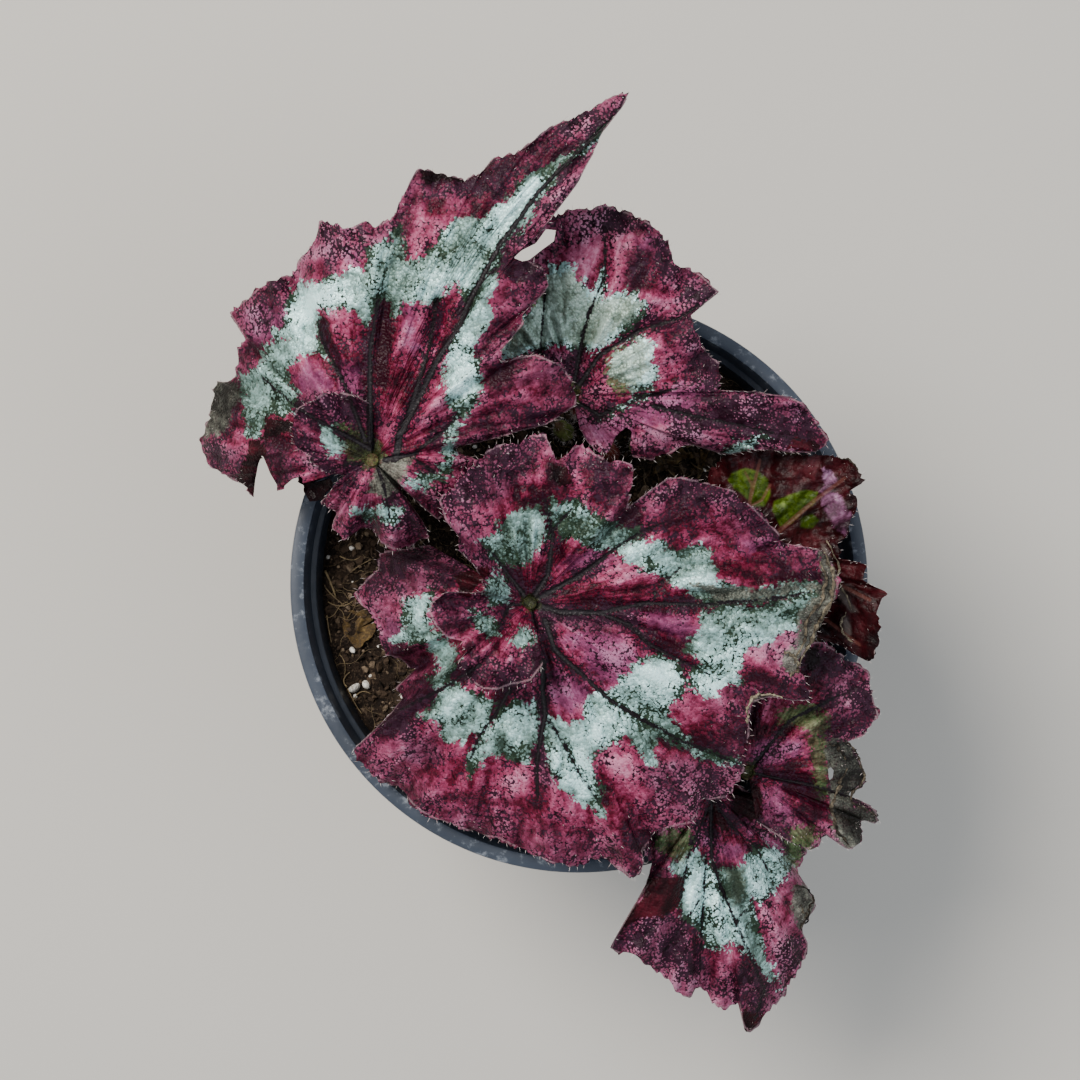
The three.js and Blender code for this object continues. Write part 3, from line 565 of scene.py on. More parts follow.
root_places, root_random = scattered(ROOTLET_COUNT, 8, SOIL_EDGE_RADIUS - 6)
root_heading = root_random.uniform(0, 2 * np.pi, (ROOTLET_COUNT, 1))
root_bend = root_random.normal(0, 1.1, (ROOTLET_COUNT, 1))
root_length = root_random.uniform(3, 15, (ROOTLET_COUNT, 1))
root_share = np.linspace(0, 1, ROOTLET_STEPS)[None]
root_turn = root_heading + root_bend * root_share + 0.5 * np.sin(9 * root_share + root_heading)
root_stride = root_length / (ROOTLET_STEPS - 1)
root_x = root_places[:, :1] + np.cumsum(np.cos(root_turn), 1) * root_stride
root_y = root_places[:, 1:2] + np.cumsum(np.sin(root_turn), 1) * root_stride
root_far = np.maximum(1, np.hypot(root_x, root_y) / (SOIL_EDGE_RADIUS - 0.5))
root_x, root_y = root_x / root_far, root_y / root_far
root_arch = root_random.uniform(0, 1.6, (ROOTLET_COUNT, 1)) * np.sin(np.pi * root_share)
root_paths = np.stack([root_x, root_y, rough_soil(root_x, root_y) + 0.15 + root_arch], -1)
root_radius = root_random.uniform(0.04, 0.1, (ROOTLET_COUNT, 1)) * (1.15 - 0.7 * root_share)
root_points, root_walls, root_ends = tubes(root_paths, root_radius, 5)
make_piece("rootlets", root_points, [root_walls, root_ends], [rootlet_finish])

# Each straw is a parabola through its three pixels, laid on the soil there.
straw_points = kept_inside(point_at([straw[1:] for straw in STRAWS], SOIL_RISE), SOIL_EDGE_RADIUS - 1)
straw_points[..., 2] += 0.6
straw_share = np.linspace(0, 1, STRAW_STEPS)
straw_weights = np.stack([(1 - straw_share) * (1 - 2 * straw_share), 4 * straw_share * (1 - straw_share),
                          straw_share * (2 * straw_share - 1)])
straw_paths = np.einsum("kt,nkc->ntc", straw_weights, straw_points)
straw_radii = np.array([straw[0] for straw in STRAWS])[:, None] * (1.1 - 0.5 * straw_share)
straw_tubes, straw_walls, straw_ends = tubes(straw_paths, straw_radii, 6)
make_piece("straws", straw_tubes, [straw_walls, straw_ends], [straw_finish])

perlite_seen = point_at([place[:2] for place in PERLITE_PLACES], SOIL_RISE)
perlite_seen = kept_inside(perlite_seen, SOIL_EDGE_RADIUS - 2)
perlite_seen[:, 2] += 0.4
perlite_strewn, perlite_random = scattered(PERLITE_COUNT, 11)
perlite_centres = np.concatenate([perlite_seen, perlite_strewn])
perlite_sizes = np.concatenate([[size for _, _, size in PERLITE_PLACES],
                                perlite_random.uniform(0.4, 1.3, PERLITE_COUNT)])
perlite_points, perlite_faces = lumps(perlite_centres, perlite_sizes, 12, 0.3)
perlite = make_piece("perlite_grains", perlite_points, [perlite_faces], [perlite_finish])
rounding = perlite.modifiers.new("rounding", "SUBSURF")
rounding.levels = rounding.render_levels = 1


# ---- Rhizome -----------------------------------------------------------------
# The thick creeping stem that the leaves grow from: brown, knobbly and ringed by old leaf
# scars, half sunk in the soil under the leaves.
RHIZOME_LINE = ((548, 462), (572, 470), (606, 500), (626, 526), (638, 575))
RHIZOME_RADIUS = 5
RHIZOME_KNOBS = 9
RHIZOME_KNOB = 0.9
RHIZOME_BLUNT = 0.12
RHIZOME_STEPS = 150
RHIZOME_SIDES = 40


def smooth_line(points, steps):
    """A curve through points, as a centripetal Catmull-Rom spline: between two points it
    is a cubic whose slopes come from the square roots of the distances round it. Its
    places are spaced evenly along it."""
    points = np.asarray(points, float)
    before, after = 2 * points[0] - points[1], 2 * points[-1] - points[-2]
    chain = np.concatenate([[before], points, [after]])
    gap = np.linalg.norm(np.diff(chain, axis=0), axis=1) ** 0.5
    p0, p1, p2, p3 = chain[:-3], chain[1:-2], chain[2:-1], chain[3:]
    g0, g1, g2 = gap[:-2, None], gap[1:-1, None], gap[2:, None]
    slope_1 = ((p1 - p0) / g0 - (p2 - p0) / (g0 + g1) + (p2 - p1) / g1) * g1
    slope_2 = ((p2 - p1) / g1 - (p3 - p1) / (g1 + g2) + (p3 - p2) / g2) * g1
    t = np.linspace(0, 1, 60, endpoint=False)[None, :, None]
    p1, p2, slope_1, slope_2 = p1[:, None], p2[:, None], slope_1[:, None], slope_2[:, None]
    curve = (p1 + slope_1 * t + (3 * (p2 - p1) - 2 * slope_1 - slope_2) * t ** 2
             + (2 * (p1 - p2) + slope_1 + slope_2) * t ** 3)
    curve = np.concatenate([curve.reshape(-1, 3), points[-1:]])
    run = np.concatenate([[0], np.cumsum(np.linalg.norm(np.diff(curve, axis=0), axis=1))])
    even = np.linspace(0, run[-1], steps)
    return np.stack([np.interp(even, run, curve[:, k]) for k in range(3)], -1)


rhizome_finish, rhizome_shader = new_finish("rhizome_skin")
rhizome_place = own_place(rhizome_shader)
rhizome_tone = cloud(rhizome_place, 3.5, 5, 0.65)
rhizome_fine = cloud(rhizome_place, 0.8, 3)
rhizome_colour = blend(step(rhizome_tone, 0.3, 0.7), paint("#3B2218"), paint("#8A5B40"))
fed(rhizome_shader, ("Base Color", rhizome_colour), ("Roughness", 0.75),
    ("Normal", relief(plus(rhizome_tone, rhizome_fine), 0.5)))

rhizome_path = smooth_line(point_at(RHIZOME_LINE, SOIL_RISE), RHIZOME_STEPS)
rhizome_share = np.linspace(0, 1, RHIZOME_STEPS)
rhizome_round = np.sin(np.pi * (RHIZOME_BLUNT + (1 - 2 * RHIZOME_BLUNT) * rhizome_share))
rhizome_radius = (RHIZOME_RADIUS * np.sqrt(rhizome_round)
                  + RHIZOME_KNOB * np.cos(2 * np.pi * RHIZOME_KNOBS * rhizome_share)
                  + 0.18 * np.sin(2 * np.pi * 41 * rhizome_share))
rhizome_radius[[0, -1]] *= 0.55
rhizome_points, rhizome_walls, rhizome_ends = tubes(rhizome_path[None], rhizome_radius[None], RHIZOME_SIDES)
rhizome_points = rhizome_points.reshape(RHIZOME_STEPS, RHIZOME_SIDES, 3)
rhizome_wrap = np.arange(RHIZOME_SIDES) / RHIZOME_SIDES * 12
rhizome_skin = uneven(rhizome_share[:, None] * 30, np.minimum(rhizome_wrap, 12 - rhizome_wrap)[None], 3)
rhizome_points = rhizome_points + (rhizome_points - rhizome_path[:, None]) * 0.07 * rhizome_skin[..., None]
rhizome = make_piece("creeping_stem", rhizome_points, [rhizome_walls, rhizome_ends], [rhizome_finish])
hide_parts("rhizome")


# ---- Stalks ------------------------------------------------------------------
# Six juicy, reddish leaf stalks with pale streaks, each rising from the soil to the hub of
# its blade, and shaggy with long pale hairs.
STALK_RADIUS = 2.6
STALK_TOP_RADIUS = 2.1
STALK_SINK = 14
STALK_UPRIGHT = 3
STALK_STEPS = 70
STALK_SIDES = 20
STALK_HAIRS = 420
STALK_HAIR_RADIUS = 0.07
SPIRAL_BOSS = dict(below=4.2, above=0.6)
FLAT_BOSS = dict(below=2.4, above=0.3)
GAP = 0.3
STALKS = {
    "front": dict(foot=(574, 522), via=((556, 556, 8), (538, 590, 24)), hub=(530, 603, 38),
                  boss=SPIRAL_BOSS),
    "back_left": dict(foot=(530, 488), via=((490, 484, 4), (420, 470, 26), (380, 462, 36)),
                      hub=(372, 460, 46), boss=SPIRAL_BOSS),
    "back_right": dict(foot=(612, 456), via=((596, 430, -2), (576, 404, 14)), hub=(572, 395, 27),
                       boss=FLAT_BOSS),
    "turned": dict(foot=(656, 503), via=((684, 522, -6), (724, 548, 0), (738, 555, 6)),
                   hub=(740, 556, 14), boss=FLAT_BOSS),
    "right": dict(foot=(668, 550), via=((700, 630, 2), (738, 724, 4), (747, 766, 5)),
                  hub=(748, 772, 13), boss=FLAT_BOSS),
    "low_front": dict(foot=(598, 562), via=((634, 650, -4), (690, 744, -5), (710, 784, -2)),
                      hub=(712, 790, 8), boss=FLAT_BOSS),
}


def hairs(roots, directions, lengths, radius, droop=0.25):
    """Fine hairs as three-sided cones in two lengths. Each leaves its root along its own
    direction, and bends down by a share of its length."""
    directions = directions / (np.linalg.norm(directions, axis=-1, keepdims=True) + 1e-9)
    lengths = np.asarray(lengths)[:, None]
    side = np.cross(directions, (0.3, 0.2, 1))
    side /= np.linalg.norm(side, axis=-1, keepdims=True) + 1e-9
    lift = np.cross(directions, side)
    angle = np.arange(3) * 2 * np.pi / 3
    ring = side[:, None] * np.cos(angle)[:, None] + lift[:, None] * np.sin(angle)[:, None]
    middle = roots + directions * lengths * 0.55
    tip = roots + directions * lengths - np.array([0, 0, 1]) * lengths * droop
    points = np.concatenate([roots[:, None] + ring * radius, middle[:, None] + ring * radius * 0.7,
                             tip[:, None]], 1)
    quads = np.array([[i, 3 + i, 3 + (i + 1) % 3, (i + 1) % 3] for i in range(3)])
    points_of_three = np.array([[3 + i, 6, 3 + (i + 1) % 3] for i in range(3)] + [[0, 1, 2]])
    first = np.arange(len(roots))[:, None, None] * 7
    return points.reshape(-1, 3), (quads + first).reshape(-1, 4), (points_of_three + first).reshape(-1, 3)


hair_finish, hair_shader = new_finish("leaf_hair")
hair_tone = cloud(own_place(hair_shader), 5, 2)
fed(hair_shader, ("Base Color", blend(step(hair_tone, 0.35, 0.65), paint("#C9B4B0"), paint("#EEE6E2"))),
    ("Roughness", 0.4))

stalk_finish, stalk_shader = new_finish("stalk_skin")
stalk_place = own_place(stalk_shader)
stalk_tone = cloud(stalk_place, 6, 4)
stalk_streak = cloud(stretched(stalk_place, 0.15), 1.3, 3)
stalk_colour = blend(step(stalk_tone, 0.3, 0.7), paint("#5E1F22"), paint("#8E4438"))
stalk_colour = blend(times(step(stalk_streak, 0.55, 0.7), 0.6), stalk_colour, paint("#B98C7A"))
fed(stalk_shader, ("Base Color", stalk_colour), ("Roughness", 0.5), ("Subsurface Weight", 0.15),
    ("Subsurface Radius", (0.004, 0.0015, 0.001)), ("Normal", relief(stalk_streak, 0.3)))

for seed, (stalk_name, stalk) in enumerate(STALKS.items()):
    top = point_at(stalk["hub"][:2], stalk["hub"][2]) - (0, 0, stalk["boss"]["below"] + GAP)
    foot = point_at(stalk["foot"], SOIL_RISE)
    passed = [point_at((px, py), rise) for px, py, rise in stalk["via"]]
    stalk_path = smooth_line([foot - (0, 0, STALK_SINK), foot, *passed, top - (0, 0, STALK_UPRIGHT), top],
                             STALK_STEPS)
    stalk_path[-1, 2] += 2 * GAP
    stalk_share = np.linspace(0, 1, STALK_STEPS)
    stalk_radius = STALK_RADIUS + (STALK_TOP_RADIUS - STALK_RADIUS) * stalk_share
    stalk_radius = stalk_radius + 0.12 * uneven(stalk_share * 14, stalk_share * 0, 60 + seed)
    run = top - foot
    stalk_across = np.array([run[1], -run[0], 0]) / np.hypot(run[0], run[1])
    stalk_points, stalk_walls, stalk_ends = tubes(stalk_path[None], stalk_radius[None], STALK_SIDES,
                                                  stalk_across)
    stalk_piece = make_piece("leaf_stalk_" + stalk_name, stalk_points, [stalk_walls, stalk_ends],
                             [stalk_finish])
    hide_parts("stalk_" + stalk_name)
    random = np.random.default_rng(90 + seed)
    stalk_rings = stalk_points.reshape(STALK_STEPS, STALK_SIDES, 3)
    hair_step = random.integers(STALK_STEPS // 8, STALK_STEPS - 3, STALK_HAIRS)
    hair_side = random.integers(0, STALK_SIDES, STALK_HAIRS)
    hair_roots = stalk_rings[hair_step, hair_side]
    hair_out = hair_roots - stalk_path[hair_step]
    hair_roots = hair_roots - hair_out * 0.06
    hair_out = hair_out + random.normal(0, 0.9, hair_out.shape)
    hair_lengths = random.uniform(1.0, 2.6, STALK_HAIRS)
    hair_points, hair_quads, hair_tips = hairs(hair_roots, hair_out, hair_lengths, STALK_HAIR_RADIUS)
    make_piece("stalk_hairs_" + stalk_name, hair_points, [hair_quads, hair_tips], [hair_finish])


# ---- Young leaves ------------------------------------------------------------
# Two leaves still rolled into buds at the crown: olive green with dark red tips, pleated
# lengthwise and fringed with hairs.
YOUNG_LEAVES = {
    "young_leaf_1": dict(foot=(568, 436), tip=(557, 424), length=15, radius=2.6),
    "young_leaf_2": dict(foot=(634, 450), tip=(645, 434), length=13, radius=2.3),
}
YOUNG_STALK_RADIUS = 1.3
YOUNG_SINK = 8
YOUNG_ARCH = 2
YOUNG_STEPS = 60
YOUNG_SIDES = 30
YOUNG_HAIRS = 160
FINE_HAIR_RADIUS = 0.06
BUD_START = 0.4
BUD_POINT = 0.6

bud_finish, bud_shader = new_finish("young_leaf_skin")
bud_place = own_place(bud_shader)
bud_tone = cloud(bud_place, 2.5, 4)
bud_colour = blend(step(bud_tone, 0.35, 0.65), paint("#4F5A1C"), paint("#8E9A58"))
bud_colour = blend(step(height_of(bud_place), 0.1205, 0.126), bud_colour, paint("#6B2A2E"))
fed(bud_shader, ("Base Color", bud_colour), ("Roughness", 0.5), ("Normal", relief(bud_tone, 0.4)))

for seed, (bud_name, bud) in enumerate(YOUNG_LEAVES.items()):
    root = point_at(bud["foot"], SOIL_RISE)
    end = point_at(bud["tip"], SOIL_RISE + bud["length"])
    bud_path = smooth_line([root - (0, 0, YOUNG_SINK), root, (root + end) / 2 + (0, 0, YOUNG_ARCH), end],
                           YOUNG_STEPS)
    bud_share = np.linspace(0, 1, YOUNG_STEPS)
    swell = np.sin(np.pi * np.maximum(0, bud_share - BUD_START) / (1 - BUD_START))
    bud_radius = (YOUNG_STALK_RADIUS + (bud["radius"] - YOUNG_STALK_RADIUS) * swell
                  - YOUNG_STALK_RADIUS * BUD_POINT * bud_share ** 8)
    run = end - root
    bud_points, bud_walls, bud_ends = tubes(bud_path[None], bud_radius[None], YOUNG_SIDES,
                                            np.array([run[1], -run[0], 0]))
    bud_rings = bud_points.reshape(YOUNG_STEPS, YOUNG_SIDES, 3)
    pleat = np.cos(np.arange(YOUNG_SIDES) * 2 * np.pi * 6 / YOUNG_SIDES)[None] * swell[:, None] * 0.09
    bud_rings = bud_rings + (bud_rings - bud_path[:, None]) * pleat[..., None]
    bud_piece = make_piece("rolled_" + bud_name, bud_rings, [bud_walls, bud_ends], [bud_finish])
    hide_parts(bud_name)
    random = np.random.default_rng(70 + seed)
    hair_step = random.integers(YOUNG_STEPS // 3, YOUNG_STEPS - 1, YOUNG_HAIRS)
    hair_side = random.integers(0, YOUNG_SIDES, YOUNG_HAIRS)
    hair_roots = bud_rings[hair_step, hair_side]
    hair_out = hair_roots - bud_path[hair_step] + random.normal(0, 0.8, hair_roots.shape)
    hair_lengths = random.uniform(0.7, 1.8, YOUNG_HAIRS)
    hair_points, hair_quads, hair_tips = hairs(hair_roots, hair_out, hair_lengths, FINE_HAIR_RADIUS)
    make_piece(f"bud_hairs_{seed + 1}", hair_points, [hair_quads, hair_tips], [hair_finish])


# ---- Leaf blades -------------------------------------------------------------
# Six thin lobed blades, ragged and hairy at the margin, puckered between sunken veins.
# They are magenta red with silver bands and dark specks above, and dark red underneath.
# Lists give x,y of pixels, or degrees,height for margin_rise, in pairs. hub: the pixel where
# the stalk ends, and hub_rise its height over the lip. turn: which way round the margin is
# listed. bend: degrees a pixel that the cells' lines curve. margin_rise: the height at a
# number of degrees along the margin from its first point. veins: the width at the hub and at
# the far end, then the pixels they pass. dry_edges: the width and the paleness, then the
# pixels. The colours, and the painted shade and light patches, are the outlines of patches.
# The pink patches are pink skin and also painted highlights on lit crests. The maroon
# patches are the dark red underside where it shows, and also painted shade over dark
# hollows. The painted shade patches darken the tone in creases, folds and shaded parts, and
# the light patches are painted highlights and painted light that brighten parts, on one leaf
# nearly all of it.
BLADE_COLUMNS = 56
ROW_PIXELS = 2.5
MARGIN_ROUNDING = 0.55
TOOTH = 3.5
TOOTH_SPACING = 6
BAY_SPACING = 19
COLUMN_CROWDING = 1.3
HUB_RADIUS = 1.4
LEAST_STEP = 0.8
SPIRAL_RISE_HUB = 1.0
SPIRAL_RISE_RIM = 6
SPIRAL_OPEN_RADIUS = 30
VEIN_DEPTH = 1.7
VEIN_WIDTH = 4.0
VEIN_START = 0.1
FINE_VEIN_DEPTH = 0.35
FINE_VEIN_WIDTH = 0.7
RIB_HEIGHT = 0.45
RIB_WIDTH = 0.9
SLOPE_POWER = 1.35
FULL_ARCH_REACH = 150
BLADE_MIDDLE_THICKNESS = 0.9
BLADE_MARGIN_THICKNESS = 0.35
PUCKER = 1.0
PUCKER_SPACINGS = (15, 7)
PLEAT_DEGREES = 5
PLEAT_LENGTH = 60
SMOOTH_MIDDLE = 50
SMOOTH_BY_VEINS = 1.6
FRILL = 2.1
FRILL_SPACINGS = (34, 14)
BOSS_RADIUS = 1.7
MARGIN_HAIR_STEP = 3
EDGE_STEPS = 90
EDGE_SIDES = 8
EDGE_SMOOTHING = 3
BOSS_SIDES = 24
FINE_CELL = 0.74
COARSE_CELL = 1.7
STREAK_DEGREES = 3.2
STREAK_PIXELS = 38
BLADE_SEED, HAIR_SEED, EDGE_SEED, RIDGE_SEED, SCRAP_SEED, LOBE_SEED = 200, 300, 400, 420, 500, 600
FAR_PIXELS = 400.0
OUTSIDE_PIXELS = -60.0
NO_RIM_PIXELS = 60
BOSS_REACH_PIXELS = 2
OWN_TURN_DEGREES = 70
LEAVES = {}
LEAVES["front"] = dict(
    hub=(530, 603), hub_rise=38, turn=1, bend=0, arch=4, ripple=1.6, ripples=13,
    margin_rise=[0,44, 50,48, 97,48, 130,48, 160,51, 190,50, 225,49, 248,44, 265,37, 285,34, 308,33, 330,26,
        350,21, 380,15, 405,11, 425,13, 455,15, 480,20],
    margin=[543,663, 530,680, 510,684, 497,689, 483,688, 472,681, 462,673, 458,662, 466,651, 455,640,
        445,635, 436,625, 430,612, 432,602, 445,592, 482,592, 482,580, 474,566, 458,550, 457,535, 447,522,
        443,510, 440,500, 450,486, 460,475, 474,461, 490,450, 505,443, 520,440, 532,436, 545,435, 556,458,
        568,451, 580,445, 600,458, 620,460, 632,465, 635,475, 631,492, 627,508, 641,497, 654,486, 667,477,
        678,477, 690,480, 702,482, 715,485, 735,492, 755,510, 775,530, 786,543, 800,546, 826,551, 836,573,
        838,585, 832,603, 825,620, 815,640, 803,652, 800,665, 808,683, 812,700, 795,701, 770,697, 750,702,
        749,720, 748,740, 745,760, 742,775, 728,796, 705,800, 697,812, 690,822, 665,828, 650,840, 642,850,
        646,864, 634,880, 620,868, 600,860, 580,868, 560,865, 545,859, 530,855, 515,846, 500,838, 480,835,
        455,825, 437,819, 420,810, 400,790, 375,778, 355,762, 351,752, 378,729, 392,712, 400,700, 396,688,
        412,671, 400,658, 385,655, 378,640, 372,620, 362,605, 355,592, 370,577, 378,570, 380,553, 405,549,
        430,545],
    veins=[(8, 2, 530,603, 560,612, 600,613, 645,603, 700,605, 780,598, 822,590),
        (5, 2, 600,613, 630,625, 650,645, 690,665, 720,680), (5, 2, 653,595, 665,580, 680,568),
        (7, 2, 530,603, 505,570, 490,550), (7, 3, 530,603, 548,575, 553,535, 545,500),
        (4, 1.5, 553,530, 575,505), (8, 2, 530,603, 580,575, 620,545, 645,530, 665,522),
        (7, 2, 545,620, 555,650, 610,700, 640,718, 680,740, 742,765),
        (8, 3, 543,663, 543,690, 545,715, 537,760, 537,800), (4, 1.5, 545,715, 565,745, 580,775, 597,800),
        (5, 2, 510,690, 495,715, 480,735, 470,760), (5, 2, 480,665, 440,690, 400,710),
        (5, 2, 530,603, 510,605, 500,625), (3, 1.5, 530,603, 535,625)],
    dry_edges=[(1.9, 0.75, 748,724, 747,708, 752,698, 766,694, 783,699),
        (2.2, 0.55, 824,548, 831,568, 835,590, 826,612, 815,632, 811,650, 799,668),
        (1.7, 0.45, 821,560, 826,580, 822,600, 808,620, 803,645, 793,664),
        (1.6, 0.6, 784,652, 794,656, 799,668, 790,678)],
    silver=[[500,517, 520,508, 540,502, 546,520, 550,535, 538,545, 530,562, 515,568, 500,565, 487,553,
         480,540, 490,536, 500,530],
        [550,500, 575,497, 590,510, 606,520, 625,527, 640,533, 632,545, 612,551, 600,552, 585,545, 575,540,
         560,538, 553,528],
        [613,547, 640,541, 665,541, 680,551, 700,545, 712,553, 712,562, 720,570, 720,580, 735,586, 755,590,
         775,583, 790,581, 812,579, 826,584, 822,594, 790,598, 760,603, 720,605, 695,600, 688,590, 672,588,
         664,580, 655,572, 640,570, 625,562],
        [700,610, 720,607, 760,605, 800,596, 825,590, 818,602, 808,612, 800,622, 797,632, 785,633, 770,641,
         752,645, 744,655, 745,665, 736,670, 742,681, 735,686, 720,690, 705,698, 690,690, 684,680, 692,670,
         700,664, 688,650, 690,638, 703,628],
        [547,715, 562,720, 573,722, 582,715, 588,700, 595,690, 610,692, 618,680, 635,663, 650,655, 665,655,
         680,662, 687,675, 685,690, 675,700, 667,710, 672,720, 683,732, 692,743, 720,757, 745,765, 705,760,
         690,754, 675,745, 662,738, 652,748, 656,768, 646,765, 636,750, 625,738, 612,745, 600,752, 592,758,
         596,772, 602,790, 604,815, 598,820, 588,806, 572,795, 558,788, 552,775, 547,760, 545,745, 541,730],
        [500,705, 515,700, 535,703, 540,720, 537,745, 530,760, 520,765, 510,760, 500,755, 490,755, 480,765,
         470,778, 465,765, 468,752, 478,742, 490,732, 495,718],
        [440,690, 455,683, 470,690, 490,697, 497,700, 490,720, 480,733, 465,740, 450,745, 440,735, 437,722,
         425,722, 420,715, 428,705, 437,698],
        [400,605, 415,595, 430,592, 434,602, 426,615, 432,625, 442,635, 455,646, 460,655, 455,670, 445,682,
         435,692, 430,680, 440,668, 432,655, 425,645, 410,640, 395,645, 390,640, 400,632, 402,620],
        [470,610, 485,610, 495,622, 500,636, 490,641, 480,632, 472,622],
        [508,641, 520,628, 530,630, 536,640, 525,649, 514,646],
        [488,578, 502,574, 511,588, 508,604, 492,606, 483,596]],
    pink_and_highlight=[[560,640, 590,632, 620,635, 640,655, 628,672, 612,690, 600,678, 580,650],
        [635,610, 660,613, 690,615, 700,630, 685,640, 660,632],
        [555,670, 575,680, 590,692, 578,712, 565,715, 552,705], [740,540, 775,535, 780,548, 745,550],
        [385,618, 405,625, 402,640, 385,640], [560,563, 598,550, 612,560, 585,571]],
    dark=[[440,500, 460,470, 505,440, 540,440, 535,470, 500,500, 470,510],
        [560,460, 600,460, 632,470, 625,505, 600,500, 590,470, 565,470],
        [640,500, 680,475, 735,490, 785,540, 760,535, 720,505, 680,500],
        [360,590, 380,550, 470,550, 475,570, 440,590, 380,600],
        [430,600, 450,592, 480,600, 470,625, 445,628],
        [540,605, 600,618, 650,615, 630,628, 590,630, 560,625, 545,640],
        [640,770, 680,755, 740,775, 725,796, 690,820, 655,800],
        [470,675, 500,668, 540,660, 530,680, 497,689, 475,683], [380,700, 420,700, 410,740, 375,735],
        [560,780, 545,790, 520,700, 545,700], [398,738, 438,738, 442,764, 406,766]],
    dull=[[818,548, 828,548, 836,575, 838,592, 832,612, 818,640, 804,662, 792,676, 782,668, 784,652,
         796,646, 799,620, 803,606, 818,596, 822,578],
        [690,583, 760,590, 800,582, 822,586, 780,596, 720,602],
        [750,703, 765,697, 785,700, 800,703, 780,704, 757,702]],
    maroon_and_shade=[[455,575, 475,568, 487,566, 490,572, 470,598, 458,594],
        [550,461, 567,467, 573,484, 560,488, 550,478]],
    painted_shade=[[457,625, 500,627, 502,656, 462,654], [515,485, 548,488, 548,514, 515,512],
        [545,460, 562,468, 576,485, 570,500, 552,505, 544,488],
        [556,545, 578,543, 584,552, 575,566, 558,562],
        [508,572, 530,565, 548,563, 550,576, 543,595, 530,598, 516,588],
        [562,592, 600,580, 625,585, 648,578, 652,592, 640,600, 600,604, 565,602],
        [575,462, 600,458, 632,468, 630,500, 645,515, 640,535, 620,522, 590,498],
        [388,655, 405,645, 422,645, 434,660, 440,680, 430,697, 415,702, 408,690, 415,672, 400,660],
        [715,560, 735,565, 755,573, 765,582, 745,588, 730,583, 718,572],
        [780,574, 800,571, 822,569, 822,577, 800,581, 783,582],
        [745,670, 765,674, 790,684, 814,690, 810,701, 790,693, 765,684, 745,681],
        [690,731, 710,742, 730,750, 746,760, 745,768, 722,762, 700,748],
        [601,770, 612,790, 622,815, 636,835, 645,852, 630,850, 612,825, 603,800],
        [472,765, 482,768, 476,790, 468,812, 455,815, 462,790],
        [502,684, 514,686, 505,705, 492,716, 492,700],
        [650,630, 670,641, 692,640, 690,653, 668,652, 655,643],
        [550,512, 600,520, 640,533, 620,545, 570,538, 552,532], [498,520, 530,515, 530,560, 500,562],
        [360,560, 380,552, 440,552, 472,568, 455,580, 440,600, 430,585, 380,575],
        [430,600, 450,595, 470,612, 470,630, 450,632, 435,618], [380,700, 420,702, 412,730, 380,740]],
    light=[[680,541, 740,524, 775,534, 782,549, 740,546, 700,545],
        [603,738, 622,742, 655,770, 672,800, 645,815, 622,790, 606,760],
        [668,704, 682,688, 715,696, 745,689, 746,712, 742,728, 712,724, 685,716],
        [726,764, 744,768, 740,778, 720,777], [698,645, 735,640, 746,670, 715,680],
        [484,762, 545,765, 540,800, 488,800], [545,684, 578,686, 576,716, 547,716],
        [375,620, 400,624, 404,640, 382,643],
        [560,712, 590,692, 640,664, 690,668, 742,672, 735,690, 705,698, 650,722, 600,746, 570,742],
        [545,745, 585,748, 602,792, 560,782], [500,706, 532,706, 532,740, 508,752],
        [598,640, 632,636, 636,655, 616,672, 600,662]])
